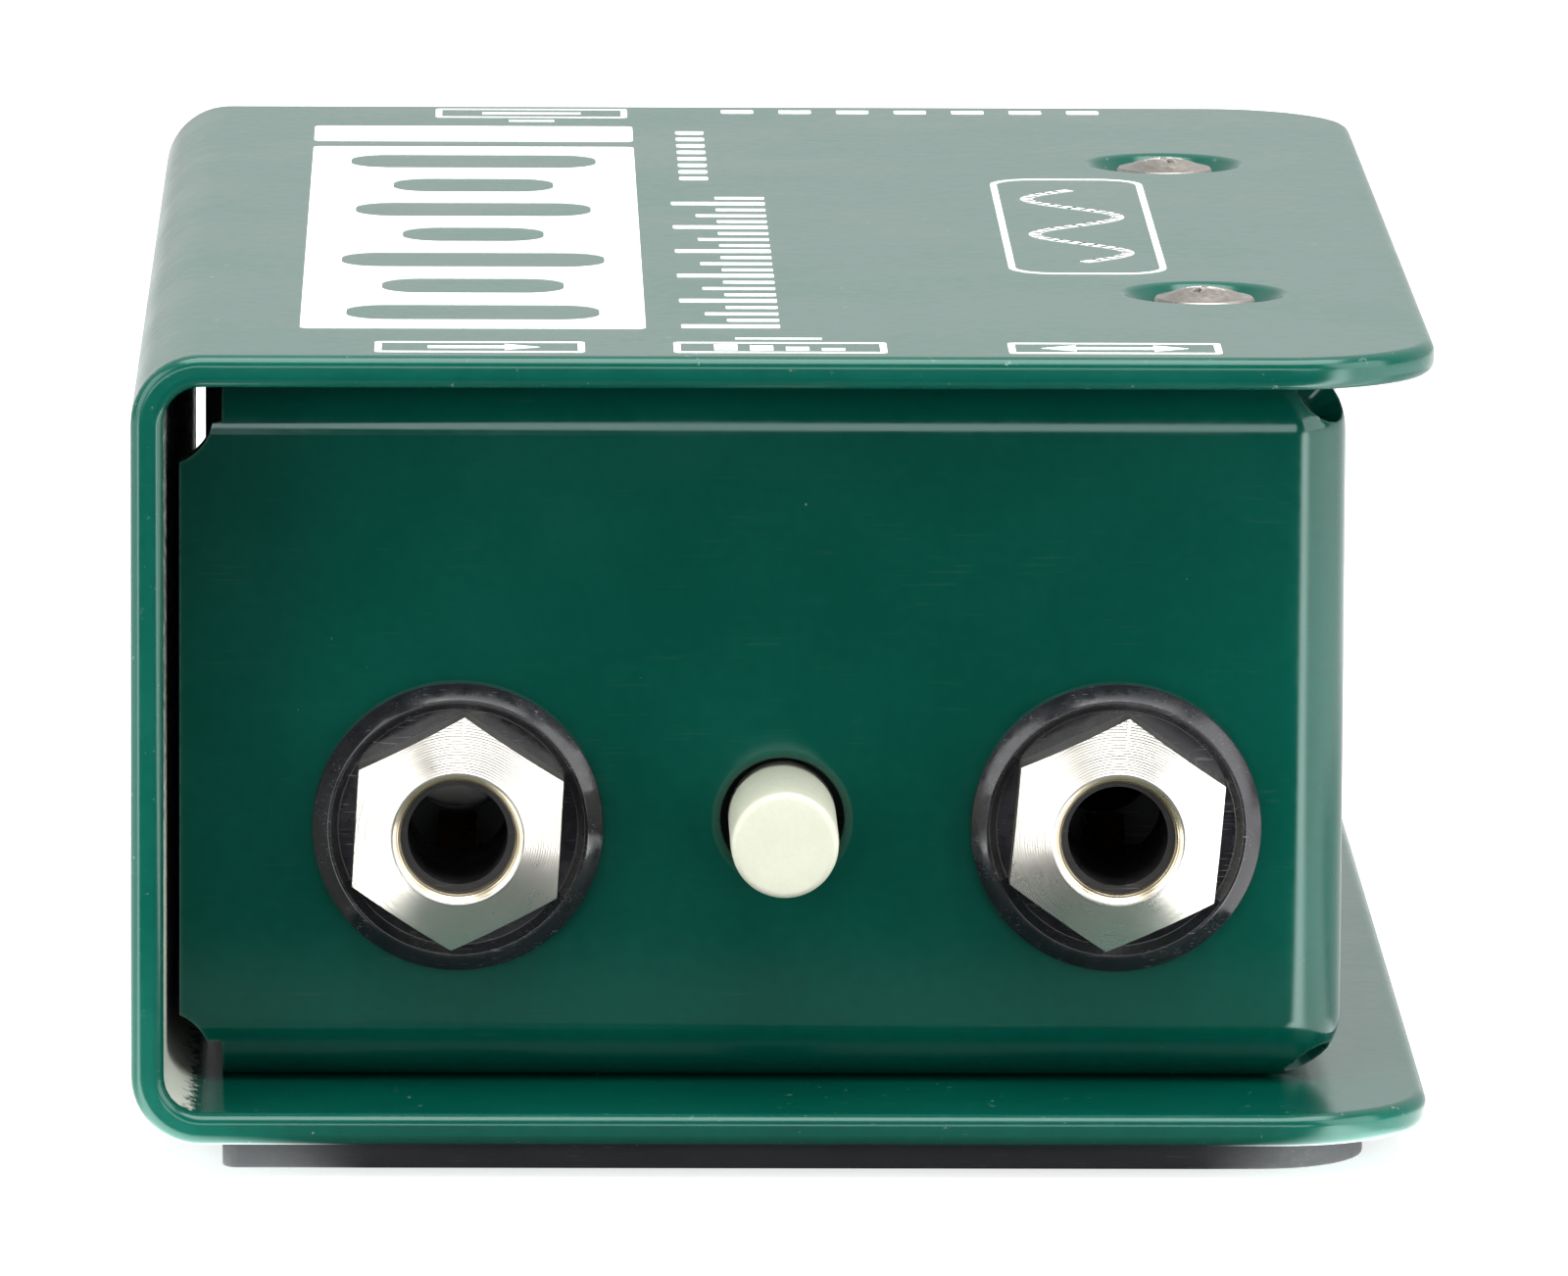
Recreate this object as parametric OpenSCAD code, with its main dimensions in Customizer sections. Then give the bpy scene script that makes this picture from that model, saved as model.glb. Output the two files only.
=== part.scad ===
// Passive direct injection box: two folded steel parts around one circuit board.
// Millimetres, +Z up, front panel facing -Y, origin under the middle of the shell at the base.

/* [Shell] */
// Width of the outer shell along X
shell_w = 84; // [82:0.5:92]
// Depth of the outer shell along Y
shell_d = 127; // [125:1:140]
// Height of the outer shell, without the base pad
shell_h = 51.4; // [51:0.2:56]
// Thickness of the shell's sheet with its coat
shell_t = 2.1; // [1.8:0.1:2.3]
// Inner radius of the shell's two bends
shell_bend_r = 2.4; // [1.8:0.1:3.5]
// Corner radius of the shell's open lips, seen from above
lip_corner_r = 10; // [6:0.5:14]

/* [Chassis] */
// How far the front and rear panels sit behind the shell's edges
panel_recess = 10.5; // [9.5:0.1:11]
// How far the side wall sits inside the shell's right-hand lips
side_recess = 5.4; // [5:0.1:6]
// Thickness of the chassis sheet
chassis_t = 2.0; // [1.6:0.1:2.2]
// Inner radius of the chassis bends
chassis_bend_r = 2.3; // [2:0.1:2.6]
// Depth of the folded flanges, measured from the outer face of their wall
flange_d = 15.5; // [14:0.5:16]
// Gap between the front panel's free edge and the shell's left wall
free_edge_gap = 0.85; // [0.6:0.05:1.2]

/* [Base pad] */
// Thickness of the rubber pad under the box
pad_t = 2.4; // [2.2:0.1:4]
// Margin from the shell's front edge to the pad
pad_margin_y = 5.2; // [4:0.2:9]
// Margin from the shell's left wall to the pad
pad_margin_left = 5.8; // [4:0.2:9]
// Margin from the shell's right edge to the pad
pad_margin_right = 4; // [3:0.2:9]

/* [Jacks] */
// Distance between the two jack axes
jack_spacing = 42.7; // [42:0.1:44]
// X of the point halfway between the jacks
jack_mid_x = 0.35; // [0:0.05:0.6]
// Height of the jack axes above the ground
jack_z = 21.6; // [21:0.1:22.5]
// Radius of the plug's bore
jack_bore_r = 3.25; // [3.2:0.01:3.3]
// Size across the flats of the hex nut
nut_af = 13.3; // [12.8:0.1:13.6]
// Turn of the left nut and the right nut about their axes
nut_turn = [3, 10];
// Radius of the black washer
washer_r = 9.45; // [9.2:0.05:9.8]

/* [Buttons] */
// X of the pad button on the front panel
pad_button_x = 0.05; // [-0.5:0.05:0.5]
// X of the ground lift button on the rear panel
lift_button_x = -16; // [-18:0.5:-15]
// Height of both button axes above the ground
button_z = 22; // [21.6:0.1:22.4]
// Radius of a button cap
button_r = 3.5; // [3.2:0.05:3.6]
// How far a button stands out of its panel
button_reach = 9.9; // [8:0.1:10]
// Travel of a button
button_travel = 3.2; // [2:0.1:3.6]

/* [Output connector] */
// X of the three-pin output connector
xlr_x = 11.6; // [11:0.1:13]
// Height of the output connector's axis
xlr_z = 28; // [27.5:0.1:29]
// Radius of the output connector's cavity
xlr_cavity_r = 8.15; // [8:0.05:8.3]
// Radius of one connector pin
xlr_pin_r = 1.2; // [1.15:0.05:1.2]

/* [Screws] */
// X of the screws that join the shell to the chassis
screw_x = 28; // [27.5:0.1:28.2]
// Distance of those screws in front of and behind the middle
screw_y = 32.7; // [31:0.1:34]
// Radius of the recess around a top screw, at the plate's surface
recess_r = 5.3; // [5:0.1:5.4]
// Depth of the recess around a top screw
recess_depth = 1.6; // [1.4:0.1:1.7]

/* [Hidden] */
$fn = 48;

// Heights of the shell and of the bay between its plates
shell_z0 = pad_t;
shell_z1 = pad_t + shell_h;
bay_z0 = shell_z0 + shell_t;
bay_z1 = shell_z1 - shell_t;

// The chassis stands on the bottom plate and just clears the top plate
chassis_z0 = bay_z0 + 0.05;
chassis_z1 = bay_z1 - 0.25;
chassis_h = chassis_z1 - chassis_z0;
chassis_r = chassis_bend_r + chassis_t;
panel_y = shell_d / 2 - panel_recess;
wall_x = shell_w / 2 - side_recess;
free_edge_x = -shell_w / 2 + shell_t + free_edge_gap;

// The flanges of the front and rear panels stop short of the free edge and at the side wall
strip_w = 2.75;
flange_x0 = free_edge_x + strip_w;
flange_x1 = wall_x - chassis_r + 0.8;
mitre_gap = 0.5;
corner_notch_r = 2.4;
relief_r = 2.6;

// Screw joints
screw_r = 1.7;
thread_clearance = 0.05;
screw_hole_r = 1.9;
recess_floor_t = 1.6;
recess_floor_r = recess_r - recess_depth;
dimple_wall = 2;
nut_r = 4.5;
nut_h = 3.1;
pan_r = 3.45;
pan_h = 2.0;

// Depths below the plate's surface of the nested dimples in the shell and the flange
flange_face_depth = shell_t + 0.25;
shell_dimple_depth = recess_depth + recess_floor_t;
flange_recess_depth = shell_dimple_depth + 0.05 - flange_face_depth;
flange_floor_t = 1.5;
flange_dimple_depth = flange_recess_depth + flange_floor_t;
top_nut_depth = flange_face_depth + flange_dimple_depth;

// Circuit board
jack_half_h = 7;
board_t = 1.6;
board_z1 = jack_z - jack_half_h - 0.02;
board_z0 = board_z1 - board_t;
board_x0 = -33.5;
board_x1 = 31;
board_y0 = -50;
board_y1 = 46;
floor_z = chassis_z0 + chassis_t;
lead_hole_r = 0.65;
lead_z = board_z0 - 1.6;
standoff_at = [[-9, -44], [9.3, -44], [-28, 43], [26.5, 8]];
standoff_hole_r = 2.05;

// Jack parts, measured inwards from the panel's front face
jack_at = [jack_mid_x - jack_spacing / 2, jack_mid_x + jack_spacing / 2];
jack_body_w = 16;
jack_body_y1 = 28;
nose_r = 5.9;
nose_y0 = -3.5;
washer_t = 1.3;
nut_seat_y = -0.6;
nut_rim_y = -5.2;
nut_rim_r = 4.25;
nut_bore_r = 3.7;
nut_slope = 0.546;
cavity_y0 = 9;
terminal_w = 1;
terminal_t = 0.4;
jack_leads = [[0, 11.2], [4.4, 23.5]];

// Switch parts, measured inwards from the panel's front face
cap_back_y = 2.6;
stem_w = 2.6;
housing_y0 = cap_back_y + button_travel + 1.2;
housing_y1 = housing_y0 + 17;
housing_w = 10;
housing_wall = 1.2;
switch_foot_z = board_z1 + 0.02 - button_z;
switch_lead_x = 2.4;
switch_lead_y = [for (step = [0, 4, 8]) housing_y0 + 3.5 + step];

// Output connector, measured outwards from the rear panel's face
xlr_flange = [26, 31, 2.2];
xlr_barrel_r = 11.6;
xlr_floor_y = -11.4;
xlr_back_y = -19;
xlr_insert_r = 9.5;
xlr_lip = 1;
xlr_circle_r = 3.81;
xlr_pin_at = [[-xlr_circle_r, 0], [xlr_circle_r, 0], [0, -xlr_circle_r]];
xlr_screw_at = [[-9.5, 12], [9.5, -12]];
xlr_cup_y = -24;

// Wires from the connector to the board
wire_r = 0.65;
wire_bend_r = 3;
wire_drop_y = 23;

// Transformer
can_at = [-12, -4];
can_w = 30;
can_h = 25;
can_wall = 0.8;
can_corner_r = 4;
core_z = board_z1 + 13.4;
transformer_pin_at = [for (x = [-9, 0, 9], y = [-9, 9]) [x, y]];

// Small parts on the board
resistor_at = [[14.5, -19], [14.5, -14], [14.5, -9]];
lift_resistor_at = [-8, 18];
resistor_lead = 6.35;
capacitor_at = [[14.5, -2], [14.5, 3], [-6, 25]];
capacitor_lead = 2.5;

// Colours
coat_green = [0.0, 0.29, 0.23];
nickel = [0.86, 0.85, 0.80];
steel = [0.62, 0.60, 0.57];
black_plastic = [0.06, 0.06, 0.065];
ivory = [0.95, 0.95, 0.89];
brass = [0.78, 0.66, 0.36];
copper = [0.70, 0.36, 0.18];

// ---------------------------------------------------------------- shared shapes

// Outline of a folded channel: its back at x = 0, its two legs along +x
module channel_2d(leg, height, thick, inner_r) {
    difference() {
        back_rounded_2d(leg, height, inner_r + thick);
        translate([thick, thick])
            back_rounded_2d(leg, height - 2 * thick, inner_r);
    }
}

// Rectangle with only its two corners at x = 0 rounded
module back_rounded_2d(wide, high, corner_r) {
    translate([corner_r, 0])
        square([wide - corner_r, high]);
    translate([0, corner_r])
        square([corner_r, high - 2 * corner_r]);
    for (y = [corner_r, high - corner_r])
        translate([corner_r, y])
            circle(corner_r);
}

// Plate seen from above, with its own corner radius on the left and on the right
module plate_2d(x0, x1, half_y, left_r, right_r) {
    translate([x0 + left_r, -half_y])
        square([x1 - x0 - left_r - right_r, 2 * half_y]);
    rounded_side_2d(x0, x0 + left_r, half_y, left_r, x0 + left_r);
    rounded_side_2d(x1 - right_r, x1, half_y, right_r, x1 - right_r);
}

// One side of a plate: the straight stretch between its two corner arcs
module rounded_side_2d(x0, x1, half_y, corner_r, arc_x) {
    translate([x0, -half_y + corner_r])
        square([x1 - x0, 2 * (half_y - corner_r)]);
    for (side = [-1, 1])
        translate([arc_x, side * (half_y - corner_r)])
            circle(corner_r);
}

// Rectangle about the origin with four equal rounded corners
module rounded_2d(wide, high, corner_r) {
    square([wide - 2 * corner_r, high], center = true);
    square([wide, high - 2 * corner_r], center = true);
    for (x = [-1, 1], y = [-1, 1])
        translate([x * (wide / 2 - corner_r), y * (high / 2 - corner_r)])
            circle(corner_r);
}

// Lays a shape's +Z along +Y, with its +Y pointing down
module along_y() {
    rotate([-90, 0, 0])
        children();
}

// Cylinder along +Y from y0 to y1
module rod_y(r, y0, y1) {
    translate([0, y0, 0])
        along_y()
            cylinder(r = r, h = y1 - y0);
}

// Cone along +Y from radius r0 at y0 to radius r1 at y1
module cone_y(r0, r1, y0, y1) {
    translate([0, y0, 0])
        along_y()
            cylinder(r1 = r0, r2 = r1, h = y1 - y0);
}

// Ring or solid of revolution about Y, from an outline of [radius, y] points
module turned_y(points) {
    along_y()
        rotate_extrude()
            polygon(points);
}

// Block about x = 0 and z = mid_z, from y0 to y1
module block_y(wide, high, y0, y1, mid_z = 0) {
    translate([-wide / 2, y0, mid_z - high / 2])
        cube([wide, y1 - y0, high]);
}

// Flat terminal that goes down through the board
module lead(x, y, top_z, bottom_z) {
    translate([x - terminal_w / 2, y - terminal_t / 2, bottom_z])
        cube([terminal_w, terminal_t, top_z - bottom_z]);
}

// Pan-head screw pointing down, with its head's seat at z = 0
module pan_screw(head_r, head_h, shank_r, shank_l) {
    difference() {
        union() {
            rotate_extrude()
                polygon([
                    [0, 0], [head_r, 0], [head_r, head_h * 0.42], [head_r * 0.93, head_h * 0.72],
                    [head_r * 0.76, head_h * 0.93], [head_r * 0.55, head_h], [0, head_h]
                ]);
            translate([0, 0, -shank_l])
                cylinder(r = shank_r, h = shank_l + 0.1);
        }
        for (turn = [0, 90])
            rotate([0, 0, turn])
                translate([-head_r * 0.55, -head_r * 0.12, head_h * 0.45])
                    cube([head_r * 1.1, head_r * 0.24, head_h]);
    }
}

// Hexagonal post along +Z with a bore right through
module hex_post(across_flats, high, bore_r) {
    difference() {
        cylinder(r = across_flats / sqrt(3), h = high, $fn = 6);
        translate([0, 0, -1])
            cylinder(r = bore_r, h = high + 2);
    }
}

// ---------------------------------------------------------------- sheet metal

// Solid bulge that a recess pushes out below the sheet's upper face at z = 0
module dimple_bulge(face_r, depth) {
    translate([0, 0, -depth])
        cylinder(r1 = face_r + dimple_wall - depth, r2 = face_r + dimple_wall, h = depth);
}

// Recess and screw hole cut into the sheet's upper face at z = 0
module dimple_cut(face_r, floor_r, recess, depth) {
    translate([0, 0, -recess])
        cylinder(r1 = floor_r, r2 = face_r, h = recess);
    cylinder(r = face_r, h = 1);
    translate([0, 0, -depth - 1])
        cylinder(r = screw_hole_r, h = depth + 2);
}

module outer_shell() {
    color(coat_green)
        difference() {
            union() {
                intersection() {
                    translate([-shell_w / 2, shell_d / 2, shell_z0])
                        rotate([90, 0, 0])
                            linear_extrude(shell_d)
                                channel_2d(shell_w, shell_h, shell_t, shell_bend_r);
                    linear_extrude(shell_z1 + 1)
                        shell_outline_2d();
                }
                for (y = [-screw_y, screw_y])
                    translate([screw_x, y, shell_z1 - shell_t / 2])
                        dimple_bulge(recess_r - shell_t / 2, shell_dimple_depth - shell_t / 2);
            }
            for (y = [-screw_y, screw_y]) {
                translate([screw_x, y, shell_z1])
                    dimple_cut(recess_r, recess_floor_r, recess_depth, shell_dimple_depth);
                translate([screw_x, y, shell_z0 - 1])
                    cylinder(r = screw_hole_r, h = shell_t + 2);
            }
        }
}

// The shell seen from above: square at the left wall, round at the right-hand lips
module shell_outline_2d() {
    translate([-shell_w / 2 - 1, -shell_d / 2])
        square([shell_w + 1 - lip_corner_r, shell_d]);
    rounded_side_2d(shell_w / 2 - lip_corner_r, shell_w / 2, shell_d / 2, lip_corner_r,
        shell_w / 2 - lip_corner_r);
}

module chassis() {
    color(coat_green)
        difference() {
            union() {
                folded_panel();
                mirror([0, 1, 0])
                    folded_panel();
                folded_side_wall();
                for (side = [-1, 1])
                    corner_bend(side);
                for (y = [-screw_y, screw_y])
                    translate([screw_x, y, chassis_z1 - chassis_t / 2])
                        dimple_bulge(flange_recess_r() - chassis_t / 2,
                            flange_dimple_depth - chassis_t / 2);
            }
            corner_reliefs();
            front_panel_holes();
            rear_panel_holes();
            for (y = [-screw_y, screw_y]) {
                translate([screw_x, y, chassis_z1])
                    dimple_cut(flange_recess_r(), flange_recess_r() - flange_recess_depth,
                        flange_recess_depth, flange_dimple_depth);
                translate([screw_x, y, chassis_z0 - 1])
                    cylinder(r = screw_hole_r, h = chassis_t + 2);
            }
            for (at = standoff_at)
                translate([at[0], at[1], chassis_z0 - 1])
                    cylinder(r = standoff_hole_r, h = chassis_t + 2);
        }
}

// The flange's recess takes the shell's dimple with a little room
function flange_recess_r() = recess_r + dimple_wall - flange_face_depth + 0.15;

// Front panel with its two flanges and the narrow unfolded strip at its free edge
module folded_panel() {
    intersection() {
        difference() {
            translate([flange_x0, -panel_y, chassis_z0])
                rotate([90, 0, 90])
                    linear_extrude(flange_x1 - flange_x0)
                        channel_2d(flange_d, chassis_h, chassis_t, chassis_bend_r);
            translate([wall_x - chassis_r, -panel_y - 1, chassis_z0 + chassis_r - 1])
                cube([chassis_r, chassis_r, chassis_h - 2 * chassis_r + 2]);
        }
        linear_extrude(shell_z1)
            polygon([
                [flange_x0 - 1, -panel_y - 1], [wall_x - mitre_gap + 1, -panel_y - 1],
                [wall_x - mitre_gap - flange_d - 1, -panel_y + flange_d + 1],
                [flange_x0 - 1, -panel_y + flange_d + 1]
            ]);
    }
    difference() {
        translate([free_edge_x, -panel_y, chassis_z0 + corner_notch_r])
            cube([strip_w + 0.5, chassis_t, chassis_h - 2 * corner_notch_r - 1]);
        for (z = [chassis_z0 + corner_notch_r - 0.2, chassis_z1 - corner_notch_r - 1.4])
            translate([free_edge_x, -panel_y - 1, z])
                along_y()
                    cylinder(r = corner_notch_r, h = chassis_t + 2);
    }
}

module folded_side_wall() {
    wall_half = panel_y - chassis_r;
    intersection() {
        translate([wall_x, -wall_half - 0.8, chassis_z0])
            rotate([90, 0, 180])
                linear_extrude(2 * wall_half + 1.6)
                    channel_2d(flange_d, chassis_h, chassis_t, chassis_bend_r);
        linear_extrude(shell_z1)
            polygon([
                [wall_x + 1, -panel_y + mitre_gap - 1], [wall_x + 1, panel_y - mitre_gap + 1],
                [wall_x - flange_d - 1, panel_y - mitre_gap - flange_d - 1],
                [wall_x - flange_d - 1, -panel_y + mitre_gap + flange_d + 1]
            ]);
    }
}

// Upright quarter-round bend between the side wall and the front (-1) or rear (1) panel
module corner_bend(side) {
    bend_h = chassis_h - 2 * chassis_r + 2;
    translate([wall_x - chassis_r, side * (panel_y - chassis_r), chassis_z0 + chassis_r - 1])
        intersection() {
            difference() {
                cylinder(r = chassis_r, h = bend_h);
                translate([0, 0, -1])
                    cylinder(r = chassis_bend_r, h = bend_h + 2);
            }
            translate([0, side < 0 ? -chassis_r : 0, 0])
                cube([chassis_r, chassis_r, bend_h]);
        }
}

// Round relief where three bends meet, at each end of the side wall
module corner_reliefs() {
    for (side = [-1, 1], z = [chassis_z0 + 1.2, chassis_z1 - 1.2])
        translate([wall_x, side * panel_y, z])
            rotate([0, 90, side * 45])
                cylinder(r = relief_r, h = 12, center = true);
}

module front_panel_holes() {
    for (x = jack_at)
        translate([x, -panel_y, jack_z])
            rod_y(nose_r + 0.1, -1, chassis_t + 1);
    translate([pad_button_x, -panel_y, button_z])
        button_hole();
}

// Round hole with its front edge softened
module button_hole() {
    rod_y(button_r + 0.5, -1, chassis_t + 1);
    cone_y(button_r + 1.15, button_r + 0.5, -0.1, 0.55);
}

module rear_panel_holes() {
    translate([lift_button_x, panel_y, button_z])
        rotate([0, 0, 180])
            button_hole();
    translate([xlr_x, panel_y, xlr_z]) {
        rod_y(xlr_barrel_r + 0.4, -chassis_t - 1, 1);
        for (at = xlr_screw_at)
            translate([at[0], 0, at[1]])
                rod_y(1.6, -chassis_t - 1, 1);
    }
}

module base_pad() {
    color([0.14, 0.14, 0.15])
        difference() {
            linear_extrude(pad_t)
                plate_2d(-shell_w / 2 + pad_margin_left, shell_w / 2 - pad_margin_right,
                    shell_d / 2 - pad_margin_y, 1, 7);
            for (y = [-screw_y, screw_y])
                translate([screw_x, y, -1])
                    cylinder(r = pan_r + 1.5, h = pad_t + 2);
        }
}

// ---------------------------------------------------------------- fasteners

module top_screws() {
    color(steel)
        for (y = [-screw_y, screw_y])
            translate([screw_x, y, shell_z1 - recess_depth])
                rotate([0, 0, y > 0 ? 20 : 65])
                    pan_screw(pan_r, pan_h, screw_r, top_nut_depth - recess_depth + nut_h - 0.2);
}

module bottom_screws() {
    color(steel)
        for (y = [-screw_y, screw_y])
            translate([screw_x, y, shell_z0])
                mirror([0, 0, 1])
                    pan_screw(pan_r, pan_h, screw_r, floor_z - shell_z0 + nut_h - 0.2);
}

module weld_nuts() {
    color(steel)
        for (y = [-screw_y, screw_y], z = [shell_z1 - top_nut_depth - nut_h, floor_z])
            translate([screw_x, y, z])
                difference() {
                    cylinder(r = nut_r, h = nut_h);
                    translate([0, 0, -1])
                        cylinder(r = screw_r + thread_clearance, h = nut_h + 2);
                }
}

// ---------------------------------------------------------------- jacks

// Places a jack's parts: 0 is the input on the left, 1 is the through output
module at_jack(which) {
    translate([jack_at[which], -panel_y, jack_z])
        children();
}

module jack_body(which) {
    cavity_w = 10.6;
    cavity_h = 11.2;
    color(black_plastic)
        at_jack(which)
            difference() {
                union() {
                    rod_y(nose_r, nose_y0, chassis_t + 1);
                    translate([0, chassis_t, 0])
                        along_y()
                            linear_extrude(jack_body_y1 - chassis_t)
                                rounded_2d(jack_body_w, 2 * jack_half_h, 0.8);
                }
                rod_y(jack_bore_r, nose_y0 - 1, cavity_y0 + 1);
                block_y(cavity_w, cavity_h, cavity_y0, jack_body_y1 - 2);
                rod_y(jack_bore_r + 0.2, jack_body_y1 - 3, jack_body_y1 + 1);
                for (at = jack_leads)
                    translate([at[0] - 0.75, at[1] - 0.5, -jack_half_h - 1])
                        cube([1.5, 1, 4]);
            }
}

// Nickel hex nut with a turned conical face and a chamfered mouth
module jack_nut(which) {
    corner_r = nut_af / sqrt(3);
    shoulder_y = nut_rim_y + (corner_r - nut_rim_r) * nut_slope;
    color(nickel)
        at_jack(which)
            intersection() {
                rotate([0, -nut_turn[which], 0])
                    translate([0, nut_rim_y - 1, 0])
                        along_y()
                            rotate([0, 0, 30])
                                cylinder(r = corner_r, h = nut_seat_y - nut_rim_y + 1, $fn = 6);
                turned_y([
                    [nose_r + 0.05, nut_seat_y], [corner_r + 1, nut_seat_y],
                    [corner_r + 1, shoulder_y + nut_slope], [nut_rim_r, nut_rim_y],
                    [nut_bore_r, nut_rim_y + 0.55], [nut_bore_r, nose_y0 - 0.1],
                    [nose_r + 0.05, nose_y0 - 0.1]
                ]);
            }
}

// Black washer with a bevelled rim and a seat sunk for the nut
module jack_washer(which) {
    seat_r = 7.8;
    color(black_plastic)
        at_jack(which)
            turned_y([
                [nose_r + 0.15, 0], [washer_r, 0], [washer_r, -0.5], [washer_r - 0.95, -washer_t],
                [seat_r + 0.45, -washer_t], [seat_r, nut_seat_y], [nose_r + 0.15, nut_seat_y]
            ]);
}

// Leaf that presses on the plug's tip, with its terminal through the board
module jack_tip_contact(which) {
    leaf_w = 2.6;
    color(brass)
        at_jack(which) {
            rotate([90, 0, 90])
                translate([0, 0, -leaf_w / 2])
                    linear_extrude(leaf_w)
                        polygon([
                            [10.9, -5.5], [12.5, -5.5], [19.6, -2.9], [21.2, -3.2], [24.2, -5.0],
                            [24.4, -4.7], [21.3, -2.8], [19.6, -2.45], [12.4, -5.1], [10.9, -5.1]
                        ]);
            lead(jack_leads[0][0], jack_leads[0][1], -5.2, lead_z - jack_z);
        }
}

// Leaf that presses on the plug's sleeve, with a leg down to the board
module jack_sleeve_contact(which) {
    leaf_w = 2.6;
    leg_x = jack_leads[1][0];
    color(brass)
        at_jack(which) {
            rotate([90, 0, 90])
                translate([0, 0, -leaf_w / 2])
                    linear_extrude(leaf_w)
                        polygon([
                            [9.6, 4.1], [11.4, 3.4], [13.2, 3.75], [23.8, 4.9],
                            [23.8, 5.3], [13.1, 4.15], [11.4, 3.8], [9.8, 4.45]
                        ]);
            translate([-leaf_w / 2, 23.1, 4.9])
                cube([leg_x + leaf_w / 2 + terminal_w / 2, 0.7, 0.4]);
            lead(leg_x, jack_leads[1][1], 5.3, lead_z - jack_z);
        }
}

// ---------------------------------------------------------------- push switches

// Places the pad switch at the front panel
module at_pad_switch() {
    translate([pad_button_x, -panel_y, button_z])
        children();
}

// Places the lift switch at the rear panel, facing +Y
module at_lift_switch() {
    translate([lift_button_x, panel_y, button_z])
        rotate([0, 0, 180])
            children();
}

module button_cap() {
    edge_r = 0.5;
    socket_y0 = cap_back_y - 7;
    color(ivory)
        difference() {
            along_y()
                rotate_extrude() {
                    translate([0, -button_reach])
                        square([button_r - edge_r, edge_r]);
                    translate([0, -button_reach + edge_r])
                        square([button_r, cap_back_y + button_reach - edge_r]);
                    translate([button_r - edge_r, -button_reach + edge_r])
                        circle(edge_r);
                }
            block_y(stem_w + 0.06, stem_w + 0.06, socket_y0, cap_back_y + 1);
        }
}

// Square stem with the slider block that carries the bridges
module switch_plunger() {
    color([0.85, 0.85, 0.82]) {
        block_y(stem_w, stem_w, cap_back_y - 6.9, housing_y0 + housing_wall + 0.3);
        difference() {
            block_y(6.6, 5.6, housing_y0 + housing_wall + 0.1, housing_y0 + housing_wall + 8.5, 0.1);
            for (x = [-switch_lead_x, switch_lead_x])
                translate([x - 0.7, housing_y0 + housing_wall + 1, -3])
                    cube([1.4, 6.6, 0.6]);
        }
    }
}

// Two U-shaped clips under the slider
module switch_bridges() {
    color(brass)
        for (x = [-switch_lead_x, switch_lead_x])
            translate([x - 0.6, housing_y0 + housing_wall + 1.1, -3.05])
                difference() {
                    cube([1.2, 6.4, 0.6]);
                    translate([-1, 1.2, -1])
                        cube([4, 4, 1.3]);
                }
}

module switch_housing() {
    inner = housing_w - 2 * housing_wall;
    color(black_plastic)
        difference() {
            union() {
                block_y(housing_w, housing_w, housing_y0, housing_y1);
                for (x = [-1, 1])
                    translate([x * (housing_w / 2 - 0.75), 0, 0])
                        block_y(1.5, -switch_foot_z - housing_w / 2 + 1, housing_y0 + 1,
                            housing_y1 - 1, (switch_foot_z - housing_w / 2 + 1) / 2);
            }
            block_y(inner, inner, housing_y0 + housing_wall, housing_y1 - housing_wall);
            block_y(stem_w + 0.2, stem_w + 0.2, housing_y0 - 1, housing_y0 + housing_wall + 1);
            for (x = [-switch_lead_x, switch_lead_x], y = switch_lead_y)
                translate([x - 0.6, y - 0.3, -housing_w / 2 - 1])
                    cube([1.2, 0.6, 3]);
        }
}

// Six terminals from the housing's floor down through the board
module switch_terminals() {
    color(brass)
        for (x = [-switch_lead_x, switch_lead_x], y = switch_lead_y)
            lead(x, y, -3.2, lead_z - button_z);
}

// Return spring around the stem, swept from hexagonal rings along a helix
module switch_spring() {
    coil_r = 2.45;
    wire = 0.2;
    turns = 4;
    per_turn = 16;
    sides = 6;
    y0 = cap_back_y + wire + 0.02;
    y1 = housing_y0 - wire - 0.02;
    rings = turns * per_turn;
    points = [
        for (i = [0:rings], k = [0:sides - 1])
            let (turn = 360 * i / per_turn, side = 360 * k / sides, reach = coil_r + wire * cos(side))
                [reach * cos(turn), y0 + (y1 - y0) * i / rings + wire * sin(side), reach * sin(turn)]
    ];
    walls = [
        for (i = [0:rings - 1], k = [0:sides - 1])
            let (a = i * sides + k, b = i * sides + (k + 1) % sides)
                [a, a + sides, b + sides, b]
    ];
    near_end = [for (k = [0:sides - 1]) k];
    far_end = [for (k = [sides - 1:-1:0]) rings * sides + k];
    color(steel)
        polyhedron(points = points, faces = concat(walls, [near_end, far_end]));
}

// ---------------------------------------------------------------- output connector

module at_xlr() {
    translate([xlr_x, panel_y, xlr_z])
        children();
}

module xlr_housing() {
    front_y = xlr_flange[2];
    color(nickel)
        at_xlr()
            difference() {
                union() {
                    along_y()
                        linear_extrude(front_y)
                            rounded_2d(xlr_flange[0], xlr_flange[1], 2.5);
                    rod_y(xlr_barrel_r, xlr_back_y, 0.5);
                    rod_y(xlr_cavity_r + 1.5, 1, front_y + xlr_lip);
                }
                difference() {
                    rod_y(xlr_cavity_r, xlr_floor_y - 1, front_y + xlr_lip + 1);
                    block_y(2.2, 1.2, xlr_floor_y - 1, front_y - 1, xlr_cavity_r - 0.5);
                }
                rod_y(xlr_insert_r + 0.05, xlr_back_y - 1, xlr_floor_y);
                for (at = xlr_screw_at)
                    translate([at[0], 0, at[1]])
                        rod_y(1.6, -1, front_y + 1);
            }
}

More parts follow.
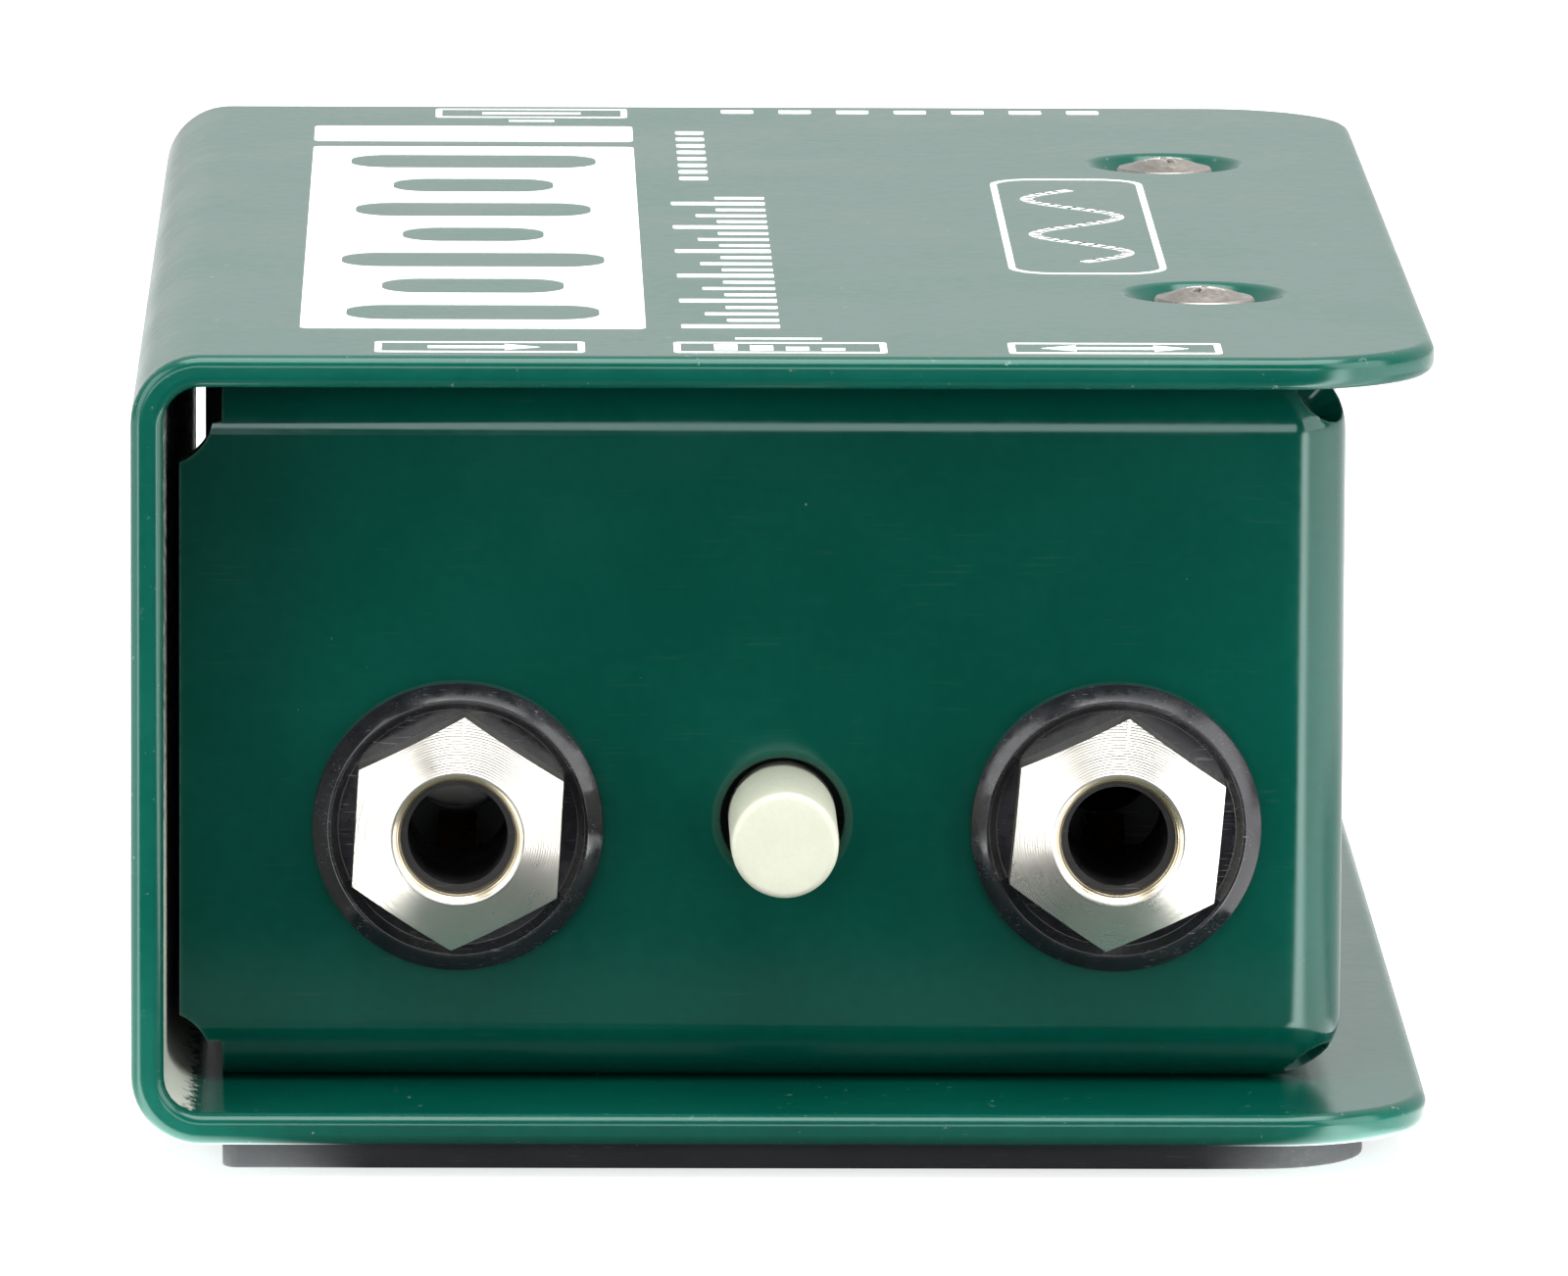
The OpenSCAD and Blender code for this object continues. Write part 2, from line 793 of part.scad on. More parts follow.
module xlr_insert() {
    color(black_plastic)
        at_xlr()
            difference() {
                rod_y(xlr_insert_r, xlr_back_y + 1.5, xlr_floor_y - 0.02);
                for (at = xlr_pin_at)
                    translate([at[0], 0, at[1]])
                        rod_y(xlr_pin_r + 0.05, xlr_back_y, xlr_floor_y + 1);
            }
}

// Three pins with round tips in front and solder cups behind
module xlr_pins() {
    tip_y = xlr_flange[2] + xlr_lip - 1.6;
    color(nickel)
        at_xlr()
            for (at = xlr_pin_at)
                translate([at[0], 0, at[1]])
                    difference() {
                        union() {
                            rod_y(xlr_pin_r, xlr_cup_y + 4, tip_y - xlr_pin_r);
                            translate([0, tip_y - xlr_pin_r, 0])
                                sphere(r = xlr_pin_r);
                            rod_y(1.5, xlr_cup_y, xlr_back_y + 1.4);
                        }
                        rod_y(1, xlr_cup_y - 1, xlr_cup_y + 3);
                    }
}

// Flat tab that ties the connector's housing to the board's ground
module xlr_ground_tab() {
    color(brass)
        at_xlr()
            translate([8, xlr_back_y - 6, 5.2])
                difference() {
                    cube([2.4, 6, 0.5]);
                    translate([1.2, 1.6, -1])
                        cylinder(r = 0.6, h = 3);
                }
}

module xlr_screws() {
    color(steel)
        at_xlr()
            for (at = xlr_screw_at)
                translate([at[0], xlr_flange[2], at[1]])
                    along_y()
                        pan_screw(2.75, 1.7, 1.45, xlr_flange[2] + chassis_t + 3);
}

module xlr_nuts() {
    color(steel)
        at_xlr()
            for (at = xlr_screw_at)
                translate([at[0], -chassis_t - 2.4, at[1]])
                    along_y()
                        hex_post(5.5, 2.4, 1.5);
}

// Wire from one solder cup: back, round a quarter bend and down into the board
module output_wire(which, tint) {
    at = xlr_pin_at[which];
    top_z = xlr_z + at[1];
    color(tint)
        translate([xlr_x + at[0], 0, 0]) {
            translate([0, 0, top_z])
                rod_y(wire_r, wire_drop_y + wire_bend_r, panel_y + xlr_cup_y + 2.5);
            translate([0, wire_drop_y + wire_bend_r, top_z - wire_bend_r])
                rotate([90, 0, 90])
                    rotate([0, 0, 90])
                        rotate_extrude(angle = 90)
                            translate([wire_bend_r, 0])
                                circle(wire_r);
            translate([0, wire_drop_y, board_z0 + 0.2])
                cylinder(r = wire_r, h = top_z - wire_bend_r - board_z0 - 0.2);
        }
}

module hot_wire() {
    output_wire(0, [0.7, 0.08, 0.06]);
}

module cold_wire() {
    output_wire(1, [0.9, 0.9, 0.88]);
}

module shield_wire() {
    output_wire(2, [0.08, 0.08, 0.08]);
}

// ---------------------------------------------------------------- board

// Every hole that a lead or a wire goes through, as [x, y, radius]
function board_holes() = concat(
    [for (x = jack_at, at = jack_leads) [x + at[0], -panel_y + at[1], lead_hole_r]],
    [for (x = [-switch_lead_x, switch_lead_x], y = switch_lead_y)
        [pad_button_x + x, -panel_y + y, lead_hole_r]],
    [for (x = [-switch_lead_x, switch_lead_x], y = switch_lead_y)
        [lift_button_x + x, panel_y - y, lead_hole_r]],
    [for (at = xlr_pin_at) [xlr_x + at[0], wire_drop_y, wire_r + 0.05]],
    [for (at = transformer_pin_at) [can_at[0] + at[0], can_at[1] + at[1], 0.5]],
    [for (at = concat(resistor_at, [lift_resistor_at]), x = [-resistor_lead, resistor_lead])
        [at[0] + x, at[1], 0.4]],
    [for (at = capacitor_at, x = [-capacitor_lead, capacitor_lead]) [at[0] + x, at[1], 0.4]],
    [for (at = standoff_at) [at[0], at[1], 1.6]]
);

module circuit_board() {
    color([0.05, 0.32, 0.16])
        difference() {
            translate([board_x0, board_y0, board_z0])
                cube([board_x1 - board_x0, board_y1 - board_y0, board_t]);
            for (hole = board_holes())
                translate([hole[0], hole[1], board_z0 - 1])
                    cylinder(r = hole[2], h = board_t + 2);
        }
}

// Hexagonal standoffs clinched into the chassis floor
module board_standoffs() {
    color(steel)
        for (at = standoff_at)
            translate([at[0], at[1], 0])
                difference() {
                    union() {
                        translate([0, 0, floor_z])
                            cylinder(r = 5 / sqrt(3), h = board_z0 - floor_z, $fn = 6);
                        translate([0, 0, chassis_z0 + 0.1])
                            cylinder(r = standoff_hole_r - 0.03, h = chassis_t);
                    }
                    translate([0, 0, chassis_z0])
                        cylinder(r = 1.5, h = board_z0);
                }
}

module board_screws() {
    color(steel)
        for (at = standoff_at)
            translate([at[0], at[1], board_z1])
                pan_screw(2.7, 1.7, 1.45, board_t + 5.5);
}

// ---------------------------------------------------------------- transformer

module at_transformer() {
    translate([can_at[0], can_at[1], board_z1])
        children();
}

module transformer_shield() {
    color([0.72, 0.72, 0.73])
        at_transformer()
            translate([0, 0, 0.3])
                difference() {
                    linear_extrude(can_h)
                        rounded_2d(can_w, can_w, can_corner_r);
                    translate([0, 0, -1])
                        linear_extrude(can_h + 1 - can_wall)
                            rounded_2d(can_w - 2 * can_wall, can_w - 2 * can_wall,
                                can_corner_r - can_wall);
                }
}

module transformer_header() {
    color(black_plastic)
        at_transformer()
            difference() {
                translate([0, 0, 0.02])
                    linear_extrude(2)
                        rounded_2d(can_w - 2 * can_wall - 0.2, can_w - 2 * can_wall - 0.2,
                            can_corner_r - can_wall);
                for (at = transformer_pin_at)
                    translate([at[0], at[1], -1])
                        cylinder(r = 0.42, h = 4);
            }
}

module transformer_pins() {
    color(nickel)
        for (at = transformer_pin_at)
            translate([can_at[0] + at[0], can_at[1] + at[1], lead_z])
                cylinder(r = 0.4, h = board_z1 + 3 - lead_z);
}

// Stack of laminations with two windows around the middle leg
module transformer_core() {
    window_w = 5;
    window_h = 12;
    color([0.30, 0.29, 0.30])
        translate([can_at[0], can_at[1], core_z])
            difference() {
                block_y(24, 18, -4, 4);
                for (side = [-1, 1])
                    translate([side * (3 + window_w / 2), 0, 0])
                        block_y(window_w, window_h, -5, 5);
            }
}

// Square tube round the middle leg with a flange at each end and one between
module transformer_bobbin() {
    flange_w = 15.6;
    flange_l = 22;
    color([0.85, 0.80, 0.66])
        translate([can_at[0], can_at[1], core_z])
            difference() {
                union() {
                    cube([7.8, 9.8, 11.6], center = true);
                    for (z = [-5.4, 0, 5.4])
                        translate([0, 0, z])
                            cube([flange_w, flange_l, 0.8], center = true);
                }
                cube([6.1, 8.1, 20], center = true);
            }
}

// One winding on the bobbin, centred at the given height
module winding(mid_z, tint) {
    winding_h = 4.4;
    color(tint)
        translate([can_at[0], can_at[1], core_z + mid_z])
            difference() {
                translate([0, 0, -winding_h / 2])
                    linear_extrude(winding_h)
                        rounded_2d(15, 20, 4);
                cube([7.9, 9.9, 20], center = true);
            }
}

module primary_winding() {
    winding(2.7, copper);
}

module secondary_winding() {
    winding(-2.7, [0.78, 0.44, 0.20]);
}

// ---------------------------------------------------------------- small parts

// Resistor lying along X, with its two leads bent down into the board
module resistor(at) {
    lift = 1.5;
    lead_r = 0.3;
    bend_r = 0.9;
    translate([at[0], at[1], board_z1 + lift]) {
        rotate([0, 90, 0]) {
            cylinder(r = 1.0, h = 6.4, center = true);
            for (side = [-1, 1])
                translate([0, 0, side * 2.5])
                    cylinder(r = 1.25, h = 1.5, center = true);
            cylinder(r = lead_r, h = 2 * (resistor_lead - bend_r), center = true);
        }
        for (side = [-1, 1]) {
            translate([side * (resistor_lead - bend_r), 0, -bend_r])
                rotate([90, 0, 0])
                    rotate([0, 0, side > 0 ? 0 : 90])
                        rotate_extrude(angle = 90)
                            translate([bend_r, 0])
                                circle(lead_r);
            translate([side * resistor_lead, 0, lead_z - board_z1 - lift])
                cylinder(r = lead_r, h = board_z1 + lift - bend_r - lead_z);
        }
    }
}

module pad_resistors() {
    color([0.30, 0.52, 0.66])
        for (at = resistor_at)
            resistor(at);
}

module lift_resistor() {
    color([0.76, 0.66, 0.46])
        resistor(lift_resistor_at);
}

// Box film capacitors standing on the board
module filter_capacitors() {
    color([0.66, 0.12, 0.10])
        for (at = capacitor_at)
            translate([at[0], at[1], 0]) {
                translate([-3.6, -1.5, board_z1 + 0.1])
                    cube([7.2, 3, 6.5]);
                for (side = [-1, 1])
                    translate([side * capacitor_lead, 0, lead_z])
                        cylinder(r = 0.3, h = board_z1 + 1 - lead_z);
            }
}

// ---------------------------------------------------------------- nodes

outer_shell();
chassis();
base_pad();
top_screws();
bottom_screws();
weld_nuts();
jack_body(0);  // input_jack_body
jack_nut(0);  // input_jack_nut
jack_washer(0);  // input_jack_washer
jack_tip_contact(0);  // input_jack_tip_contact
jack_sleeve_contact(0);  // input_jack_sleeve_contact
jack_body(1);  // thru_jack_body
jack_nut(1);  // thru_jack_nut
jack_washer(1);  // thru_jack_washer
jack_tip_contact(1);  // thru_jack_tip_contact
jack_sleeve_contact(1);  // thru_jack_sleeve_contact
at_pad_switch() button_cap();  // pad_button_cap
at_pad_switch() switch_housing();  // pad_switch_housing
at_pad_switch() switch_plunger();  // pad_switch_plunger
at_pad_switch() switch_bridges();  // pad_switch_bridges
at_pad_switch() switch_terminals();  // pad_switch_terminals
at_pad_switch() switch_spring();  // pad_switch_spring
at_lift_switch() button_cap();  // lift_button_cap
at_lift_switch() switch_housing();  // lift_switch_housing
at_lift_switch() switch_plunger();  // lift_switch_plunger
at_lift_switch() switch_bridges();  // lift_switch_bridges
at_lift_switch() switch_terminals();  // lift_switch_terminals
at_lift_switch() switch_spring();  // lift_switch_spring
xlr_housing();
xlr_insert();
xlr_pins();
xlr_ground_tab();
xlr_screws();
xlr_nuts();
hot_wire();
cold_wire();
shield_wire();
circuit_board();
board_standoffs();
board_screws();
transformer_shield();
transformer_header();
transformer_core();
transformer_bobbin();
primary_winding();
secondary_winding();
transformer_pins();
pad_resistors();
lift_resistor();
filter_capacitors();
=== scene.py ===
"""Looks of the passive direct injection box.

Folded steel around one circuit board: the outer shell and the chassis are bent from flat blanks,
the jacks, the buttons and the connector are turned, and every inner part of the frame keeps its
shape and gets its own finish.
"""

import logging
import math
from dataclasses import dataclass, field
from enum import Enum
from typing import Optional, Sequence

import bmesh
import bpy
from mathutils import Matrix, Vector


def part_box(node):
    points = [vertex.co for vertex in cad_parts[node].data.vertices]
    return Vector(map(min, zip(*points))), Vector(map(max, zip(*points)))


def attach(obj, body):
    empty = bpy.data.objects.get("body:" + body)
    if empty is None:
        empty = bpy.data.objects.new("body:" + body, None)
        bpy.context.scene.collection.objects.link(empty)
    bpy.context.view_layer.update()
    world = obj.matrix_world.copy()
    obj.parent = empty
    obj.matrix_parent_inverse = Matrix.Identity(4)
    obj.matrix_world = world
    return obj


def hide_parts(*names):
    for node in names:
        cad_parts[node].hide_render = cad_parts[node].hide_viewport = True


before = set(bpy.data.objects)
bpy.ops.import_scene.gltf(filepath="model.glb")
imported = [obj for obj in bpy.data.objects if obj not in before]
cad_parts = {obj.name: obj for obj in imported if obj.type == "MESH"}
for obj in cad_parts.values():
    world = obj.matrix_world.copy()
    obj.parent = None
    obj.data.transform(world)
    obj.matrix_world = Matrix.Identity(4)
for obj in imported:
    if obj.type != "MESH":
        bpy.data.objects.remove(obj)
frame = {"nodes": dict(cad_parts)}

log = logging.getLogger("direct_box")
MM = 0.001
Point = tuple[float, float]
Colour = tuple[float, float, float]
WHITE: Colour = (1.0, 1.0, 1.0)
CONNECTOR_SCREWS: Sequence[Point] = ((9.5, 12.0), (-9.5, -12.0))


class Cut(Enum):
    """How a tool solid changes a piece."""

    AWAY = "DIFFERENCE"
    ON = "UNION"
    MEET = "INTERSECT"


class End(Enum):
    """The two ends of the box, as the sign of Y."""

    FRONT = -1
    REAR = 1


# ---------------------------------------------------------------- modelling


def box_mm(node: str) -> tuple[Vector, Vector]:
    """The two corners of a frame node's box, in millimetres."""
    low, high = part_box(node)
    return low / MM, high / MM


def inner_face(node: str, end: End) -> Vector:
    """The middle of the inner face of a node that shows at one end of the box, in millimetres."""
    low, high = box_mm(node)
    back = high.y if end is End.FRONT else low.y
    return Vector(((low.x + high.x) / 2, back, (low.z + high.z) / 2))


def new_object(name: str, data: bpy.types.ID) -> bpy.types.Object:
    """Puts a new object into the scene, at the origin."""
    obj = bpy.data.objects.new(name, data)
    bpy.context.scene.collection.objects.link(obj)
    return obj


def arc(centre: Point, radius: float, start: float, stop: float, steps: int) -> list[Point]:
    """Points along an arc.

    Args:
        centre: middle of the arc's circle.
        radius: radius of the arc.
        start: angle of the first point, in degrees.
        stop: angle of the last point, in degrees.
        steps: number of straight stretches.

    Returns:
        The points from start to stop.
    """
    angles = [math.radians(start + (stop - start) * i / steps) for i in range(steps + 1)]
    return [(centre[0] + radius * math.cos(a), centre[1] + radius * math.sin(a)) for a in angles]


def facing(end: End, at: Vector) -> Matrix:
    """The placement that turns a part's own +Z outwards from one end of the box.

    Args:
        end: the end that the part faces.
        at: where its origin lies, in millimetres.

    Returns:
        The matrix from the part's own axes to the box's.
    """
    turn = Matrix.Rotation(math.pi / 2, 4, "X")
    if end is End.REAR:
        turn = Matrix.Rotation(math.pi, 4, "Z") @ turn
    return Matrix.Translation(at) @ turn


class Workpiece:
    """One piece being made, in millimetres, from bmesh operators."""

    def __init__(self, name: str) -> None:
        """Starts an empty piece."""
        self.name = name
        self.bm = bmesh.new()
        self.tools: list[tuple["Workpiece", Cut]] = []
        self.wall = 0.0

    def turn(self, outline: Sequence[Point], steps: int = 96, closed: bool = False) -> "Workpiece":
        """Spins an outline about Z.

        Args:
            outline: points of (radius, height), open where both ends lie on the axis.
            steps: facets round the full turn.
            closed: joins the last point to the first, for a ring.

        Returns:
            The same piece.
        """
        verts = [self.bm.verts.new((r, 0.0, h)) for r, h in outline]
        pairs = list(zip(verts, verts[1:])) + ([(verts[-1], verts[0])] if closed else [])
        edges = [self.bm.edges.new(pair) for pair in pairs]
        bmesh.ops.spin(self.bm, geom=verts + edges, cent=(0, 0, 0), axis=(0, 0, 1), angle=math.tau,
                       steps=steps, use_merge=True, use_duplicate=False)
        bmesh.ops.remove_doubles(self.bm, verts=self.bm.verts[:], dist=1e-4)
        bmesh.ops.recalc_face_normals(self.bm, faces=self.bm.faces[:])
        return self

    def block(self, size: Sequence[float], centre: Sequence[float], corner: float = 0.0) -> "Workpiece":
        """Adds a block with its upright edges rounded.

        Args:
            size: its lengths along X, Y and Z.
            centre: its middle.
            corner: radius of the upright edges, or 0 to leave them square.

        Returns:
            The same piece.
        """
        made = bmesh.ops.create_cube(self.bm, size=1.0)["verts"]
        bmesh.ops.scale(self.bm, vec=size, verts=made)
        bmesh.ops.translate(self.bm, vec=centre, verts=made)
        if corner:
            upright = [e for e in self.bm.edges if all(v in made for v in e.verts)
                       and abs((e.verts[0].co - e.verts[1].co).normalized().z) > 0.99]
            bmesh.ops.bevel(self.bm, geom=upright, offset=corner, offset_type="OFFSET", segments=8,
                            profile=0.5, affect="EDGES", material=-1)
        return self

    def rod(self, radius: float, low: float, high: float, at: Point = (0, 0), sides: int = 48) -> "Workpiece":
        """Adds a round or many-sided rod along Z.

        Args:
            radius: its radius.
            low: its lower end.
            high: its upper end.
            at: its axis.
            sides: number of facets.

        Returns:
            The same piece.
        """
        made = bmesh.ops.create_cone(self.bm, cap_ends=True, segments=sides, radius1=radius,
                                     radius2=radius, depth=high - low)["verts"]
        bmesh.ops.translate(self.bm, vec=(at[0], at[1], (low + high) / 2), verts=made)
        return self

    def move(self, matrix: Matrix) -> "Workpiece":
        """Places everything made so far."""
        bmesh.ops.transform(self.bm, matrix=matrix, verts=self.bm.verts[:])
        return self

    def join(self, other: "Workpiece") -> "Workpiece":
        """Takes in another piece's faces as they are."""
        mesh = bpy.data.meshes.new(other.name)
        other.bm.to_mesh(mesh)
        other.bm.free()
        self.bm.from_mesh(mesh)
        bpy.data.meshes.remove(mesh)
        return self

    def with_tool(self, tool: "Workpiece", cut: Cut) -> "Workpiece":
        """Remembers a tool solid that cuts away or adds on."""
        self.tools.append((tool, cut))
        return self

    def to_mesh(self) -> bpy.types.Mesh:
        """The piece's mesh, in metres."""
        bmesh.ops.scale(self.bm, vec=(MM, MM, MM), verts=self.bm.verts[:])
        mesh = bpy.data.meshes.new(self.name)
        self.bm.to_mesh(mesh)
        self.bm.free()
        return mesh

    def finish(self, edge: float = 0.0, segments: int = 3, sharp: float = 32.0) -> bpy.types.Object:
        """Makes the object: wall thickness, tools, soft edges and even shading.

        Args:
            edge: width of the soft edges in millimetres, or 0 for none.
            segments: facets across a soft edge.
            sharp: the angle in degrees above which an edge is softened or kept sharp.

        Returns:
            The finished object, at the origin.
        """
        obj = new_object(self.name, self.to_mesh())
        if self.wall:
            thick = obj.modifiers.new("wall", "SOLIDIFY")
            thick.thickness, thick.offset, thick.use_even_offset = self.wall * MM, -1.0, False
        used = []
        for tool, cut in self.tools:
            solid = new_object(tool.name, tool.to_mesh())
            used.append(solid)
            shape = obj.modifiers.new("shape", "BOOLEAN")
            shape.object, shape.operation, shape.solver = solid, cut.value, "EXACT"
        self.settle(obj)
        for solid in used:
            bpy.data.meshes.remove(solid.data)
        if edge:
            self.soften(obj, edge, segments, sharp)
            self.settle(obj)
        mesh = obj.data
        mesh.polygons.foreach_set("use_smooth", [True] * len(mesh.polygons))
        mesh.set_sharp_from_angle(angle=math.radians(sharp))
        even = obj.modifiers.new("even_shading", "WEIGHTED_NORMAL")
        even.keep_sharp, even.weight = True, 60
        return obj

    @staticmethod
    def soften(obj: bpy.types.Object, edge: float, segments: int, sharp: float) -> None:
        """Cleans the mesh and rounds every edge sharper than the given angle."""
        bm = bmesh.new()
        bm.from_mesh(obj.data)
        bmesh.ops.remove_doubles(bm, verts=bm.verts[:], dist=2e-6)
        bmesh.ops.dissolve_limit(bm, angle_limit=math.radians(0.4), verts=bm.verts[:], edges=bm.edges[:])
        corners = [e for e in bm.edges if e.is_manifold and e.calc_face_angle() > math.radians(sharp)]
        bmesh.ops.bevel(bm, geom=corners, offset=edge * MM, offset_type="OFFSET", segments=segments,
                        profile=0.5, affect="EDGES", material=-1, clamp_overlap=True, loop_slide=False)
        bm.to_mesh(obj.data)
        bm.free()

    @staticmethod
    def settle(obj: bpy.types.Object) -> None:
        """Applies the object's modifiers to its mesh."""
        if not obj.modifiers:
            return
        graph = bpy.context.evaluated_depsgraph_get()
        graph.update()
        mesh = bpy.data.meshes.new_from_object(obj.evaluated_get(graph), depsgraph=graph)
        old, obj.data = obj.data, mesh
        mesh.name = obj.name
        bpy.data.meshes.remove(old)
        obj.modifiers.clear()


@dataclass
class SheetBlank:
    """A flat blank of sheet metal in its own XY plane, folded towards -Z.

    The blank's face is the sheet's outer face, so a bend's radius is the outer one and the wall grows inwards.
    """

    name: str
    outline: Sequence[Point]
    wall: float
    bend_radius: float
    steps: int = 10
    work: Workpiece = field(init=False)

    def __post_init__(self) -> None:
        """Lays out the blank as one face."""
        self.work = Workpiece(self.name)
        self.work.wall = self.wall
        bm = self.work.bm
        face = bm.faces.new([bm.verts.new((u, v, 0.0)) for u, v in self.outline])
        face.normal_update()
        if face.normal.z < 0:
            face.normal_flip()

    @staticmethod
    def chord(radius: float, steps: int) -> float:
        """Length of one straight stretch of a right-angled bend."""
        return 2 * radius * math.sin(math.pi / 4 / steps)

    @classmethod
    def allowance(cls, radius: float, steps: int = 10) -> float:
        """Length of blank that a right-angled bend uses up."""
        return steps * cls.chord(radius, steps)

    def fold(self, axis: int, start: float) -> None:
        """Folds everything beyond a line by a right angle.

        Args:
            axis: 0 for a line across X, 1 for a line across Y.
            start: where the bend begins; its sign gives the side that folds.
        """
        bm, sign = self.work.bm, math.copysign(1.0, start)
        along = Vector((1, 0, 0)) if axis == 0 else Vector((0, 1, 0))
        hinge = Vector((0, sign, 0)) if axis == 0 else Vector((-sign, 0, 0))
        chord = self.chord(self.bend_radius, self.steps)
        lines = [start + sign * chord * i for i in range(self.steps + 1)]
        flat = bm.verts.layers.float.get("flat") or bm.verts.layers.float.new("flat")
        for line in lines:
            bmesh.ops.bisect_plane(bm, geom=bm.verts[:] + bm.edges[:] + bm.faces[:], dist=1e-4,
                                   plane_co=along * line, plane_no=along)
        for v in bm.verts:
            v[flat] = v.co[axis] * sign
        for i, line in reversed(list(enumerate(lines))):
            share = 0.5 if i in (0, self.steps) else 1.0
            angle = share * math.pi / 2 / self.steps
            beyond = [v for v in bm.verts if v[flat] > line * sign + 1e-3]
            bmesh.ops.rotate(bm, cent=along * line, matrix=Matrix.Rotation(angle, 3, hinge), verts=beyond)
        bmesh.ops.remove_doubles(bm, verts=bm.verts[:], dist=0.02)
        bmesh.ops.dissolve_degenerate(bm, dist=0.02, edges=bm.edges[:])


# ---------------------------------------------------------------- node trees


class Graph:
    """Adds and links nodes in one tree."""

    def __init__(self, tree: bpy.types.NodeTree) -> None:
        """Works on the given tree."""
        self.tree = tree

    @classmethod
    def fresh(cls, owner: bpy.types.ID) -> "Graph":
        """The emptied tree of a material or a world."""
        owner.use_nodes = True
        owner.node_tree.nodes.clear()
        return cls(owner.node_tree)

    def add(self, kind: str, values: Optional[dict] = None, **settings: object) -> bpy.types.Node:
        """Adds a node.

        Args:
            kind: the node's type name without its prefix.
            values: what each input gets: a socket to link, or a plain value.
            settings: the node's own properties.

        Returns:
            The new node.
        """
        node = self.tree.nodes.new("ShaderNode" + kind)
        for key, value in settings.items():
            setattr(node, key, value)
        for key, value in (values or {}).items():
            self.put(node.inputs[key], value)
        return node

    def put(self, socket: bpy.types.NodeSocket, value: object) -> None:
        """Links a socket to an input, or sets the input's own value."""
        if isinstance(value, bpy.types.NodeSocket):
            self.tree.links.new(value, socket)
        elif isinstance(value, tuple) and len(value) == 3 and socket.type == "RGBA":
            socket.default_value = (*value, 1.0)
        else:
            socket.default_value = value

    def math(self, operation: str, *values: object) -> bpy.types.NodeSocket:
        """The result of one arithmetic step."""
        return self.add("Math", dict(enumerate(values)), operation=operation).outputs[0]

    def span(self, value: object, low: float, high: float, to_low: float = 0.0,
             to_high: float = 1.0) -> bpy.types.NodeSocket:
        """A value carried smoothly from one range to another, held at its ends."""
        values = {"Value": value, "From Min": low, "From Max": high, "To Min": to_low, "To Max": to_high}
        return self.add("MapRange", values, interpolation_type="SMOOTHSTEP").outputs[0]

    def length(self, vector: object) -> bpy.types.NodeSocket:
        """The length of a vector."""
        return self.add("VectorMath", {0: vector}, operation="LENGTH").outputs["Value"]

    def noise(self, vector: object, scale: object, detail: float = 3.0,
              rough: float = 0.55) -> bpy.types.NodeSocket:
        """Plain noise from 0 to 1."""
        values = {"Vector": vector, "Scale": scale, "Detail": detail, "Roughness": rough}
        return self.add("TexNoise", values).outputs["Fac"]

    def blend(self, share: object, first: object, second: object) -> bpy.types.NodeSocket:
        """Two colours mixed by a share."""
        mix = self.add("Mix", data_type="RGBA")
        self.put(mix.inputs[0], share)
        self.put(mix.inputs[6], first)
        self.put(mix.inputs[7], second)
        return mix.outputs[2]

    def blend_value(self, share: object, first: object, second: object) -> bpy.types.NodeSocket:
        """A number between two numbers."""
        return self.add("Mix", {"Factor": share, 2: first, 3: second}, data_type="FLOAT").outputs[0]

    def axis(self, vector: object, name: str) -> bpy.types.NodeSocket:
        """One coordinate of a vector."""
        return self.add("SeparateXYZ", {0: vector}).outputs[name]

    def moved(self, vector: object, by: Sequence[float] = (0, 0, 0), turned: Sequence[float] = (0, 0, 0),
              scaled: Sequence[float] = (1, 1, 1)) -> bpy.types.NodeSocket:
        """A coordinate moved, turned and scaled."""
        values = {"Vector": vector, "Location": tuple(by), "Rotation": tuple(turned),
                  "Scale": tuple(scaled)}
        return self.add("Mapping", values).outputs[0]

    def group(self, name: str, values: dict) -> bpy.types.Node:
        """Places a shared effect with its own values."""
        node = self.tree.nodes.new("ShaderNodeGroup")
        node.node_tree = Effects.get(name)
        for key, value in values.items():
            self.put(node.inputs[key], value)
        return node


